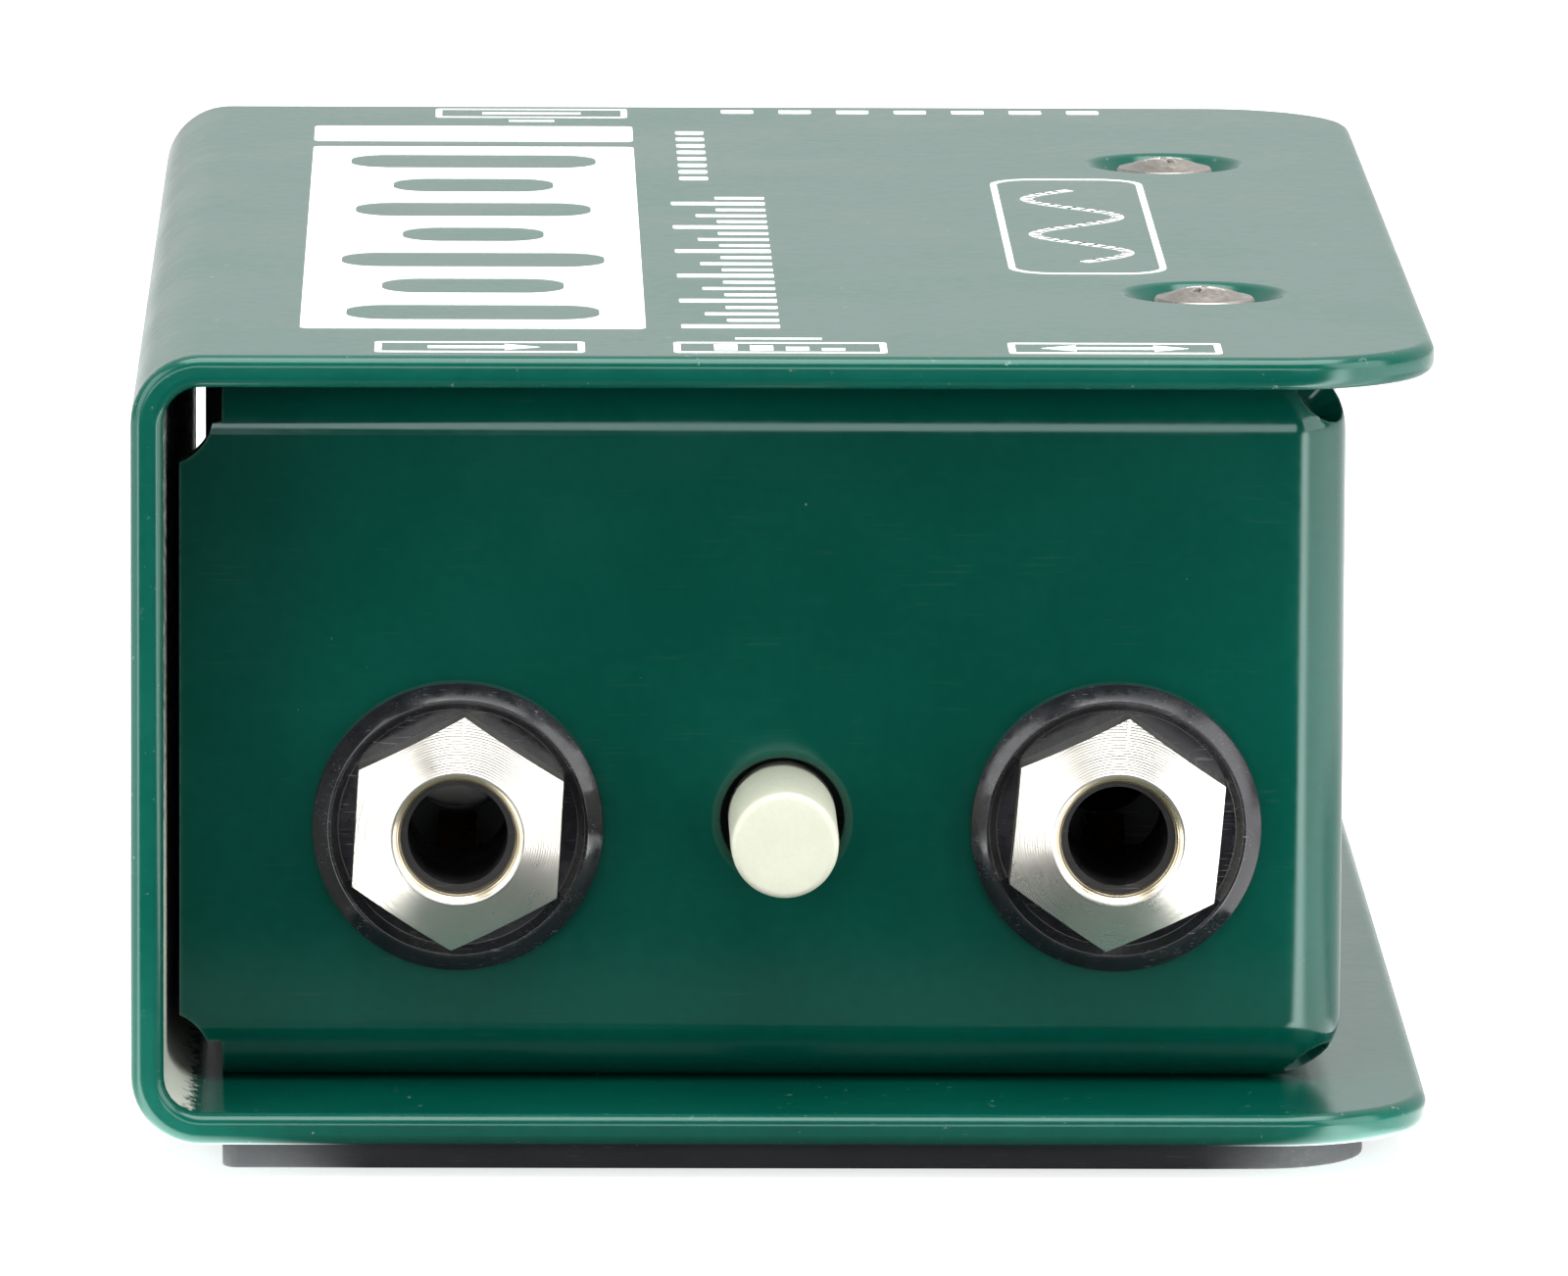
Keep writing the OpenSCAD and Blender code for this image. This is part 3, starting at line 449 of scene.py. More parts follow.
class Effects:
    """Surface effects that several finishes share, each built once as a node group."""

    made: dict[str, bpy.types.NodeTree] = {}

    @classmethod
    def get(cls, name: str) -> bpy.types.NodeTree:
        """The effect's node group, built on first use."""
        if name not in cls.made:
            cls.made[name] = getattr(cls, name)()
        return cls.made[name]

    @staticmethod
    def begin(name: str, inputs: dict[str, float],
              outputs: Sequence[str]) -> tuple[Graph, dict, bpy.types.Node]:
        """Starts a node group.

        Args:
            name: the group's name.
            inputs: each number that it takes and its usual value; a Vector comes first in every group.
            outputs: the names of the numbers that it puts out.

        Returns:
            The graph to build in, the group's inputs by name, and its output node.
        """
        tree = bpy.data.node_groups.new(name, "ShaderNodeTree")
        tree.interface.new_socket("Vector", in_out="INPUT", socket_type="NodeSocketVector")
        for key, value in inputs.items():
            socket = tree.interface.new_socket(key, in_out="INPUT", socket_type="NodeSocketFloat")
            socket.default_value = value
        for key in outputs:
            tree.interface.new_socket(key, in_out="OUTPUT", socket_type="NodeSocketFloat")
        given = tree.nodes.new("NodeGroupInput")
        by_name = {s.name: s for s in given.outputs if s.name}
        return Graph(tree), by_name, tree.nodes.new("NodeGroupOutput")

    @classmethod
    def orange_peel(cls) -> bpy.types.NodeTree:
        """Soft waves of a sprayed coat: Height for the bump, Mottle for colour and gloss."""
        g, given, out = cls.begin("orange_peel", {"Size": 0.9}, ["Height", "Mottle"])
        scale = g.math("DIVIDE", 1000.0, given["Size"])
        waves = g.noise(given["Vector"], scale, 1.5, 0.4)
        broad = g.noise(given["Vector"], g.math("MULTIPLY", scale, 0.07), 3.0, 0.6)
        g.put(out.inputs["Height"], g.math("MULTIPLY_ADD", broad, 1.6, waves))
        mottle = g.math("MULTIPLY_ADD", waves, 0.35, g.math("MULTIPLY", broad, 0.65))
        g.put(out.inputs["Mottle"], mottle)
        return g.tree

    @classmethod
    def grain(cls) -> bpy.types.NodeTree:
        """Fine moulded or cast grain: Height and Mask."""
        g, given, out = cls.begin("grain", {"Size": 0.3}, ["Height", "Mask"])
        scale = g.math("DIVIDE", 1000.0, given["Size"])
        fine = g.noise(given["Vector"], scale, 4.0, 0.62)
        coarse = g.noise(given["Vector"], g.math("MULTIPLY", scale, 0.11), 2.0, 0.5)
        g.put(out.inputs["Height"], fine)
        mean = g.math("MULTIPLY_ADD", fine, 0.5, g.math("MULTIPLY", coarse, 0.5))
        g.put(out.inputs["Mask"], g.span(mean, 0.33, 0.67))
        return g.tree

    @classmethod
    def scratches(cls) -> bpy.types.NodeTree:
        """Thin straight scratches in two directions: Mask."""
        g, given, out = cls.begin("scratches", {"Length": 6.0, "Amount": 0.3}, ["Mask"])
        scale = g.math("DIVIDE", 1000.0, given["Length"])
        masks = []
        for turn, stretch in (((0.4, 0.9, 0.5), (1, 26, 26)), ((1.2, -0.5, 2.1), (1, 34, 34))):
            lined = g.moved(given["Vector"], turned=turn, scaled=stretch)
            masks.append(g.span(g.noise(lined, scale, 1.0, 0.4), 0.68, 0.74))
        both = g.math("MAXIMUM", *masks)
        patchy = g.span(g.noise(given["Vector"], g.math("MULTIPLY", scale, 1.5), 2.0), 0.42, 0.62)
        g.put(out.inputs["Mask"], g.math("MULTIPLY", g.math("MULTIPLY", both, patchy), given["Amount"]))
        return g.tree

    @classmethod
    def turned_rings(cls) -> bpy.types.NodeTree:
        """Tool marks of a turned face round the vector's Y axis: Height, and Radius in millimetres."""
        g, given, out = cls.begin("turned_rings", {"Pitch": 0.12}, ["Height", "Radius"])
        flat = g.moved(given["Vector"], scaled=(1000, 0, 1000))
        radius = g.length(flat)
        wander = g.noise(g.moved(given["Vector"], scaled=(1, 0.2, 1)), 260.0, 2.0)
        phase = g.math("DIVIDE", g.math("MULTIPLY_ADD", wander, 0.05, radius), given["Pitch"])
        ring = g.math("SINE", g.math("MULTIPLY", phase, math.tau))
        uneven = g.noise(g.add("CombineXYZ", {"X": g.math("MULTIPLY", radius, 9.0)}).outputs[0], 1.0, 3.0)
        g.put(out.inputs["Height"], g.math("MULTIPLY_ADD", uneven, 1.4, g.math("MULTIPLY", ring, 0.35)))
        g.put(out.inputs["Radius"], radius)
        return g.tree

    @classmethod
    def edge_wear(cls) -> bpy.types.NodeTree:
        """Rubbed corners: Mask, from how far a rounded normal turns from the real one, broken up by noise."""
        g, given, out = cls.begin("edge_wear", {"Size": 1.2, "Amount": 0.5}, ["Mask"])
        rounded = g.add("Bevel", {"Radius": 0.35 * MM}, samples=4).outputs[0]
        flat = g.add("NewGeometry").outputs["Normal"]
        same = g.add("VectorMath", {0: rounded, 1: flat}, operation="DOT_PRODUCT").outputs["Value"]
        broken = g.noise(given["Vector"], g.math("DIVIDE", 1000.0, given["Size"]), 4.0, 0.6)
        edge = g.span(same, 0.90, 0.995, 1.0, 0.0)
        chipped = g.span(g.math("MULTIPLY", edge, broken), 0.30, 0.50)
        g.put(out.inputs["Mask"], g.math("MULTIPLY", chipped, given["Amount"]))
        return g.tree


@dataclass(frozen=True)
class Finish:
    """What every finish has: a name, two colours, and how rough it is."""

    name: str
    colour: Colour
    second: Colour
    rough: float = 0.4
    rough_spread: float = 0.1
    metal: float = 0.0
    ior: float = 1.5

    def material(self) -> bpy.types.Material:
        """The finished material."""
        made = bpy.data.materials.new(self.name)
        g = Graph.fresh(made)
        shader = g.add("BsdfPrincipled", {"Metallic": self.metal, "IOR": self.ior})
        g.add("OutputMaterial", {0: shader.outputs[0]})
        place = g.add("TexCoord").outputs["Object"]
        self.dress(g, shader, place)
        made.diffuse_color = (*self.colour, 1.0)
        return made

    def dress(self, g: Graph, shader: bpy.types.Node, place: bpy.types.NodeSocket) -> None:
        """Adds the finish's own detail.

        Args:
            g: the material's graph.
            shader: its shader node.
            place: the piece's own coordinates.
        """
        raise NotImplementedError

    def roughness(self, g: Graph, share: object, low: float = 0.0,
                  high: float = 1.0) -> bpy.types.NodeSocket:
        """The roughness, from its least to its most as the share goes from low to high."""
        return g.span(share, low, high, self.rough, self.rough + self.rough_spread)

    @staticmethod
    def surface(g: Graph, shader: bpy.types.Node, colour: object, rough: object, height: object,
                depth_mm: float) -> None:
        """Links colour, roughness and bump to the shader.

        Args:
            g: the material's graph.
            shader: its shader node.
            colour: the base colour's socket.
            rough: the roughness socket.
            height: the bump's height socket.
            depth_mm: how deep the bump is, in millimetres.
        """
        bump = g.add("Bump", {"Strength": 1.0, "Distance": depth_mm * MM, "Height": height})
        g.put(shader.inputs["Base Color"], colour)
        g.put(shader.inputs["Roughness"], rough)
        g.put(shader.inputs["Normal"], bump.outputs[0])


@dataclass(frozen=True)
class PowderCoat(Finish):
    """Glossy sprayed coat with orange peel, a few specks and rubbed corners."""

    tint: Colour = (0.8, 1.0, 0.95)
    peel_mm: float = 0.9
    depth_mm: float = 0.0016
    # Turns on the painted shade over the inside of the shell's left wall, and the pale spray spots on it.
    wall_shade_and_overspray: bool = False
    bare: Colour = (0.42, 0.44, 0.38)
    # Near-black painted shade for the inside face of the left wall, which lies in the narrow gap beside the
    # chassis.
    painted_wall_shade: Colour = (0.006, 0.006, 0.005)
    wall_mm: float = 2.1

    def dress(self, g: Graph, shader: bpy.types.Node, place: bpy.types.NodeSocket) -> None:
        """Coat colour, peel, specks, worn corners, and on the shell a painted shade over the inside of the left
        wall, with pale spots of spray on it.
        """
        peel = g.group("orange_peel", {"Vector": place, "Size": self.peel_mm})
        worn = g.group("edge_wear", {"Vector": place, "Size": 0.8, "Amount": 0.12})
        marks = g.group("scratches", {"Vector": place, "Length": 5.0, "Amount": 0.012})
        colour = g.blend(g.span(peel.outputs["Mottle"], 0.3, 0.7), self.colour, self.second)
        specks = g.span(g.noise(place, 1700.0, 2.0, 0.4), 0.79, 0.83)
        pale = g.math("MAXIMUM", g.math("MULTIPLY", specks, 0.35), worn.outputs["Mask"])
        colour = g.blend(g.math("MAXIMUM", pale, marks.outputs["Mask"]), colour, self.bare)
        rough = self.roughness(g, peel.outputs["Mottle"], 0.25, 0.75)
        if self.wall_shade_and_overspray:
            wall, thin = self.shaded_wall_and_spots(g, place)
            # Painted shade: the inside face of the left wall is darkened almost to black, and the pale spray
            # spots go over it.
            colour = g.blend(g.math("MULTIPLY", wall, 0.92), colour, self.painted_wall_shade)
            colour = g.blend(thin, colour, self.bare)
            rough = g.math("MULTIPLY_ADD", wall, 0.75, rough)
        shader.inputs["Specular Tint"].default_value = (*self.tint, 1.0)
        self.surface(g, shader, colour, rough, peel.outputs["Height"], self.depth_mm)

    def shaded_wall_and_spots(self, g: Graph,
                   place: bpy.types.NodeSocket) -> tuple[bpy.types.NodeSocket, bpy.types.NodeSocket]:
        """The inside face of the left wall, which is darkened almost to black as painted shade, and the pale
        spots of spray that reached it.
        """
        low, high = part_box("outer_shell")
        inner = low.x + self.wall_mm * MM
        x, y, z = (g.axis(place, name) for name in "XYZ")
        near_wall = g.span(x, inner + 0.1 * MM, inner + 3.2 * MM, 1.0, 0.0)
        inside = g.span(x, inner - 0.35 * MM, inner - 0.1 * MM)
        low_down = g.span(z, 5 * MM, 34 * MM, 1.0, 0.40)
        ends = g.span(g.math("ABSOLUTE", y), 62.4 * MM, 62.9 * MM, 1.0, 0.0)
        above = g.span(z, low.z + 1.95 * MM, low.z + 2.2 * MM)
        below = g.span(z, high.z - 2.2 * MM, high.z - 1.95 * MM, 1.0, 0.0)
        between = g.math("MULTIPLY", above, below)
        spots = g.noise(g.moved(place, scaled=(1, 0.8, 1)), 1300.0, 4.0, 0.7)
        wall = g.math("MULTIPLY", near_wall, inside)
        wall = g.math("MULTIPLY", wall, g.math("MULTIPLY", between, ends))
        reach = g.math("MULTIPLY", wall, low_down)
        return wall, g.span(g.math("MULTIPLY_ADD", reach, 0.5, spots), 0.64, 0.84)


@dataclass(frozen=True)
class TurnedMetal(Finish):
    """Plated metal with the rings of its last cut, for parts turned about Y."""

    centre: Sequence[float] = (0, 0, 0)
    pitch_mm: float = 0.16
    depth_mm: float = 0.010
    throat: Colour = (0.62, 0.52, 0.34)
    throat_radius: float = 4.15
    stain_at: Optional[Sequence[float]] = None
    stain: Colour = (0.42, 0.27, 0.09)

    def dress(self, g: Graph, shader: bpy.types.Node, place: bpy.types.NodeSocket) -> None:
        """Rings round the part's own axis, a warmer chamfer, dulled spots and a stain on one of the nuts."""
        own = g.moved(place, by=[-c * MM for c in self.centre])
        rings = g.group("turned_rings", {"Vector": own, "Pitch": self.pitch_mm})
        dull = g.group("grain", {"Vector": place, "Size": 1.4})
        marks = g.group("scratches", {"Vector": place, "Length": 4.0, "Amount": 0.25})
        edge = self.throat_radius
        throat = g.span(rings.outputs["Radius"], edge - 0.1, edge + 0.1, 0.7, 0.0)
        colour = g.blend(g.math("MULTIPLY", dull.outputs["Mask"], 0.5), self.colour, self.second)
        colour = g.blend(throat, colour, self.throat)
        rough = self.roughness(g, dull.outputs["Mask"])
        if self.stain_at:
            spot = g.moved(place, by=[-c * MM for c in self.stain_at])
            away = g.length(g.moved(spot, scaled=(1, 1, 0.55)))
            ragged = g.math("MULTIPLY_ADD", g.noise(place, 900.0, 4.0), 1.1 * MM, away)
            spread = g.span(ragged, 1.0 * MM, 1.7 * MM, 0.95, 0.0)
            colour = g.blend(spread, colour, self.stain)
            rough = g.math("MULTIPLY_ADD", spread, 0.2, rough)
        rough = g.math("MULTIPLY_ADD", marks.outputs["Mask"], 0.25, rough)
        self.surface(g, shader, colour, rough, rings.outputs["Height"], self.depth_mm)


@dataclass(frozen=True)
class WornMetal(Finish):
    """Rolled, drawn or tumbled metal with scratches and brighter worn corners."""

    grain_mm: float = 0.5
    depth_mm: float = 0.003
    stretch: Sequence[float] = (1, 1, 1)
    bright: Colour = (0.86, 0.84, 0.80)

    def dress(self, g: Graph, shader: bpy.types.Node, place: bpy.types.NodeSocket) -> None:
        """Grain drawn out along the stretch, tarnish, scratches and worn corners."""
        drawn = g.moved(place, scaled=self.stretch)
        grain = g.group("grain", {"Vector": drawn, "Size": self.grain_mm})
        worn = g.group("edge_wear", {"Vector": place, "Size": 0.7, "Amount": 0.8})
        marks = g.group("scratches", {"Vector": place, "Length": 4.0, "Amount": 0.5})
        colour = g.blend(grain.outputs["Mask"], self.colour, self.second)
        colour = g.blend(g.math("MAXIMUM", worn.outputs["Mask"], marks.outputs["Mask"]), colour, self.bright)
        rough = self.roughness(g, grain.outputs["Mask"])
        self.surface(g, shader, colour, rough, grain.outputs["Height"], self.depth_mm)


@dataclass(frozen=True)
class Moulded(Finish):
    """Moulded plastic or rubber: fine grain, faint flow clouds, light scuffs."""

    grain_mm: float = 0.25
    depth_mm: float = 0.002
    scuff: float = 0.2
    scuff_colour: Colour = (0.35, 0.35, 0.36)

    def dress(self, g: Graph, shader: bpy.types.Node, place: bpy.types.NodeSocket) -> None:
        """Grain, clouds and scuffs."""
        grain = g.group("grain", {"Vector": place, "Size": self.grain_mm})
        marks = g.group("scratches", {"Vector": place, "Length": 3.0, "Amount": self.scuff})
        colour = g.blend(grain.outputs["Mask"], self.colour, self.second)
        colour = g.blend(marks.outputs["Mask"], colour, self.scuff_colour)
        rough = self.roughness(g, grain.outputs["Mask"])
        rough = g.math("MULTIPLY_ADD", marks.outputs["Mask"], 0.4, rough)
        self.surface(g, shader, colour, rough, grain.outputs["Height"], self.depth_mm)


@dataclass(frozen=True)
class Lined(Finish):
    """Regular lines across one direction: stacked laminations or turns of wire."""

    direction: str = "Z"
    line_mm: float = 0.35
    depth_mm: float = 0.03

    def dress(self, g: Graph, shader: bpy.types.Node, place: bpy.types.NodeSocket) -> None:
        """Lines with a darker gap, and fine noise over them."""
        grain = g.group("grain", {"Vector": place, "Size": 0.3})
        wander = g.math("MULTIPLY", g.noise(place, 200.0, 2.0), 0.06 * MM)
        along = g.math("ADD", g.axis(place, self.direction), wander)
        wave = g.math("SINE", g.math("MULTIPLY", along, math.tau / (self.line_mm * MM)))
        line = g.span(wave, -0.9, 0.3)
        colour = g.blend(line, self.second, self.colour)
        rough = self.roughness(g, grain.outputs["Mask"])
        self.surface(g, shader, colour, rough, line, self.depth_mm)


@dataclass(frozen=True)
class CircuitLacquer(Finish):
    """Solder lacquer over glass cloth, with copper tracks showing through as a lighter green."""

    track: Colour = (0.035, 0.20, 0.07)
    depth_mm: float = 0.02
    weave_scale: float = 5200.0

    def dress(self, g: Graph, shader: bpy.types.Node, place: bpy.types.NodeSocket) -> None:
        """Cloth weave, tracks on a plain raster, and lacquer gloss."""
        warp, weft = (g.math("SINE", g.math("MULTIPLY", g.axis(place, name), self.weave_scale))
                      for name in "XY")
        weave = g.math("MULTIPLY", warp, weft)
        raster = {"Vector": g.moved(place, scaled=(1, 1, 0)), "Scale": 150.0, "Randomness": 0.35}
        cells = g.add("TexVoronoi", raster, feature="DISTANCE_TO_EDGE",
                      distance="EUCLIDEAN").outputs["Distance"]
        tracks = g.span(cells, 0.05, 0.09, 1.0, 0.0)
        grain = g.group("grain", {"Vector": place, "Size": 0.8})
        colour = g.blend(grain.outputs["Mask"], self.colour, self.second)
        colour = g.blend(g.math("MULTIPLY", tracks, 0.8), colour, self.track)
        rough = self.roughness(g, grain.outputs["Mask"])
        height = g.math("MULTIPLY_ADD", weave, 0.12, tracks)
        self.surface(g, shader, colour, rough, height, self.depth_mm)


class Palette:
    """Every finish of the box by its slot, made once on first use."""

    GREEN, GREEN_2 = (0.0, 0.044, 0.030), (0.0, 0.052, 0.036)
    SHELL_GREEN, SHELL_GREEN_2 = (0.0, 0.060, 0.041), (0.0, 0.070, 0.048)
    LEFT_NUT, RIGHT_NUT = (-21.0, -58, 21.6), (21.7, -58, 21.6)

    def __init__(self) -> None:
        """Sets out the finishes."""
        black = ((0.005, 0.005, 0.006), (0.009, 0.009, 0.010))
        nickel = ((0.62, 0.60, 0.55), (0.53, 0.51, 0.45), 0.26, 0.10, 1.0)
        listed = [
            PowderCoat("shell_coat", self.SHELL_GREEN, self.SHELL_GREEN_2, 0.17, 0.06, wall_shade_and_overspray=True),
            PowderCoat("chassis_coat", self.GREEN, self.GREEN_2, 0.09, 0.08),
            Moulded("pad_rubber", (0.012, 0.013, 0.014), (0.03, 0.031, 0.033), 0.62, 0.25, grain_mm=0.5,
                    depth_mm=0.03, scuff=0.1),
            WornMetal("screw_steel", (0.26, 0.235, 0.21), (0.42, 0.39, 0.35), 0.24, 0.22, 1.0),
            TurnedMetal("nut_nickel_left", *nickel, centre=self.LEFT_NUT, stain_at=(-23.6, -56, 16.6)),
            TurnedMetal("nut_nickel_right", *nickel, centre=self.RIGHT_NUT),
            Moulded("washer_black", (0.008, 0.008, 0.010), (0.016, 0.016, 0.019), 0.10, 0.16, grain_mm=0.9,
                    depth_mm=0.0015, scuff=0.25, scuff_colour=(0.30, 0.30, 0.33)),
            Moulded("moulded_black", *black, 0.38, 0.18),
            Moulded("button_ivory", (0.58, 0.59, 0.48), (0.54, 0.55, 0.44), 0.34, 0.14, depth_mm=0.0012,
                    scuff=0.12, scuff_colour=(0.62, 0.60, 0.48)),
            Moulded("plunger_grey", (0.55, 0.56, 0.53), (0.48, 0.49, 0.46), 0.4, 0.12),
            WornMetal("contact_brass", (0.62, 0.46, 0.17), (0.74, 0.58, 0.26), 0.22, 0.16, 1.0,
                      stretch=(1, 0.2, 1), bright=(0.86, 0.74, 0.42)),
            WornMetal("spring_steel", (0.52, 0.52, 0.53), (0.66, 0.66, 0.66), 0.22, 0.12, 1.0, grain_mm=0.3),
            WornMetal("connector_nickel", (0.66, 0.64, 0.60), (0.56, 0.54, 0.50), 0.24, 0.14, 1.0, grain_mm=1.2,
                      depth_mm=0.002),
            WornMetal("pin_plating", (0.80, 0.79, 0.76), (0.70, 0.69, 0.66), 0.18, 0.12, 1.0, grain_mm=0.4),
            CircuitLacquer("board_green", (0.010, 0.085, 0.030), (0.014, 0.11, 0.04), 0.25, 0.12),
            WornMetal("mu_metal", (0.50, 0.49, 0.46), (0.60, 0.59, 0.56), 0.34, 0.18, 1.0, grain_mm=2.4,
                      stretch=(1, 1, 0.3)),
            Lined("lamination", (0.22, 0.21, 0.20), (0.06, 0.055, 0.05), 0.42, 0.2, 0.85, direction="Z"),
            Moulded("bobbin_natural", (0.72, 0.68, 0.56), (0.64, 0.60, 0.48), 0.45, 0.15),
            Lined("enamel_copper", (0.48, 0.17, 0.05), (0.12, 0.035, 0.012), 0.24, 0.14, 0.8, direction="Y",
                  line_mm=0.28, depth_mm=0.08),
            Moulded("resistor_blue", (0.055, 0.20, 0.36), (0.075, 0.25, 0.42), 0.3, 0.12, scuff=0.05),
            Moulded("resistor_tan", (0.58, 0.42, 0.26), (0.66, 0.50, 0.32), 0.36, 0.12, scuff=0.05),
            Moulded("film_red", (0.40, 0.035, 0.022), (0.48, 0.05, 0.03), 0.28, 0.12, scuff=0.05),
            Moulded("wire_red", (0.50, 0.025, 0.02), (0.58, 0.04, 0.03), 0.34, 0.1, scuff=0.05),
            Moulded("wire_white", (0.80, 0.80, 0.77), (0.72, 0.72, 0.69), 0.36, 0.1, scuff=0.05),
            Moulded("wire_black", *black, 0.36, 0.12, scuff=0.05),
            Moulded("print_white", (0.97, 0.98, 0.96), (0.93, 0.94, 0.91), 0.42, 0.16, grain_mm=0.5,
                    depth_mm=0.002, scuff=0.1, scuff_colour=(0.45, 0.52, 0.48)),
        ]
        self.finishes = {f.name: f for f in listed}
        self.made: dict[str, bpy.types.Material] = {}

    def get(self, name: str) -> bpy.types.Material:
        """The material of that name."""
        if name not in self.made:
            self.made[name] = self.finishes[name].material()
        return self.made[name]


# ---------------------------------------------------------------- pieces


class Assembly:
    """Common work of every sub-assembly: dressing a piece and tying it to its body."""

    def __init__(self, palette: Palette) -> None:
        """Takes the palette that its pieces are dressed from."""
        self.palette = palette

    def tie(self, obj: bpy.types.Object, finish: str, nodes: Sequence[str] = (), body: str = "root") -> bpy.types.Object:
        """Dresses a piece, ties it to the body that it rides on, hides the frame's nodes that it stands for,
        and reports it.

        Args:
            obj: the finished piece.
            finish: the palette's name for its finish.
            nodes: the frame's nodes that it stands for.
            body: the body that it rides on.

        Returns:
            The same piece.
        """
        obj.data.materials.clear()
        obj.data.materials.append(self.palette.get(finish))
        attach(obj, body)
        if nodes:
            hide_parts(*nodes)
        log.info("%s: %d faces, finish %s, body %s", obj.name, len(obj.data.polygons), finish, body)
        return obj


@dataclass
class ScrewPlaces:
    """Where the shell's screws sit, shared by the sheet metal and the fasteners."""

    x: float = 28.0
    y: float = 32.7
    recess_radius: float = 5.3
    recess_depth: float = 1.6
    hole_radius: float = 1.9

    def all(self) -> list[Point]:
        """Both places, front first."""
        return [(self.x, -self.y), (self.x, self.y)]

    def recess_tool(self, name: str, top: float, radius: float, depth: float, through: float) -> Workpiece:
        """A tool that presses a dished recess with a soft rim and drills its hole.

        Args:
            name: the tool's name.
            top: height of the plate's face.
            radius: the recess's radius at the face.
            depth: the recess's depth.
            through: how far the hole goes below the face.

        Returns:
            The tool, standing on the Z axis.
        """
        soft, over = 0.8, 0.6
        wide = radius + soft * math.tan(math.radians(22.5))
        rim = arc((wide, -soft), soft, 96, 135, 4)
        outline = [(0.0, over), (wide + 0.7, over), (wide + 0.7, 0.06), *rim, (radius - depth, -depth),
                   (self.hole_radius, -depth), (self.hole_radius, -through), (0.0, -through)]
        return Workpiece(name).turn(outline, 64).move(Matrix.Translation((0, 0, top)))

    @staticmethod
    def bulge(top: float, wide: float, narrow: float, deep: float, steps: int) -> Workpiece:
        """The metal that a recess pushes down, as a cone on the Z axis.

        Args:
            top: height of the plate's face.
            wide: the cone's radius, 1 mm below the face.
            narrow: its radius at the bottom.
            deep: how far it reaches below the face.
            steps: number of facets round the axis.

        Returns:
            The cone.
        """
        outline = [(0.0, top - 1.0), (wide, top - 1.0), (narrow, top - deep), (0.0, top - deep)]
        return Workpiece("bulge").turn(outline, steps)


@dataclass
class OuterShell:
    """The folded shell: left wall, top plate and bottom plate with rounded lips."""

    palette: Palette
    screws: ScrewPlaces
    wall: float = 2.1
    bend: float = 4.5
    lip_corner: float = 10.0
    coat_edge: float = 0.8

    def build(self) -> bpy.types.Object:
        """Cuts the blank, folds it and presses the screw recesses.

        Returns:
            The shell.
        """
        low, high = box_mm("outer_shell")
        half_y, wall_half = (high.y - low.y) / 2, (high.z - low.z) / 2 - self.bend
        far = wall_half + SheetBlank.allowance(self.bend, 12) + (high.x - low.x) - self.bend
        r = self.lip_corner
        outline = []
        for cx, cy, start in ((far - r, half_y - r, 0), (-far + r, half_y - r, 90),
                              (-far + r, -half_y + r, 180), (far - r, -half_y + r, 270)):
            outline += arc((cx, cy), r, start, start + 90, 14)
        blank = SheetBlank("outer_shell_sheet", outline, self.wall, self.bend, 12)
        blank.fold(0, wall_half)
        blank.fold(0, -wall_half)
        mid_z = (low.z + high.z) / 2
        blank.work.move(Matrix(((0, 0, -1, low.x), (0, 1, 0, 0), (1, 0, 0, mid_z), (0, 0, 0, 1))))
        bulges, cutters = Workpiece("bulges"), Workpiece("cutters")
        radius, depth = self.screws.recess_radius, self.screws.recess_depth
        for x, y in self.screws.all():
            at = Matrix.Translation((x, y, 0))
            bulges.join(self.screws.bulge(high.z, 6.3, 4.15, 3.2, 64).move(at))
            cutters.join(self.screws.recess_tool("recess", high.z, radius, depth, 5.0).move(at))
            cutters.rod(self.screws.hole_radius, low.z - 1, low.z + 4, (x, y))
        blank.work.with_tool(bulges, Cut.ON).with_tool(cutters, Cut.AWAY)
        shell = blank.work.finish(self.coat_edge, 4)
        return Assembly(self.palette).tie(shell, "shell_coat", ["outer_shell"])


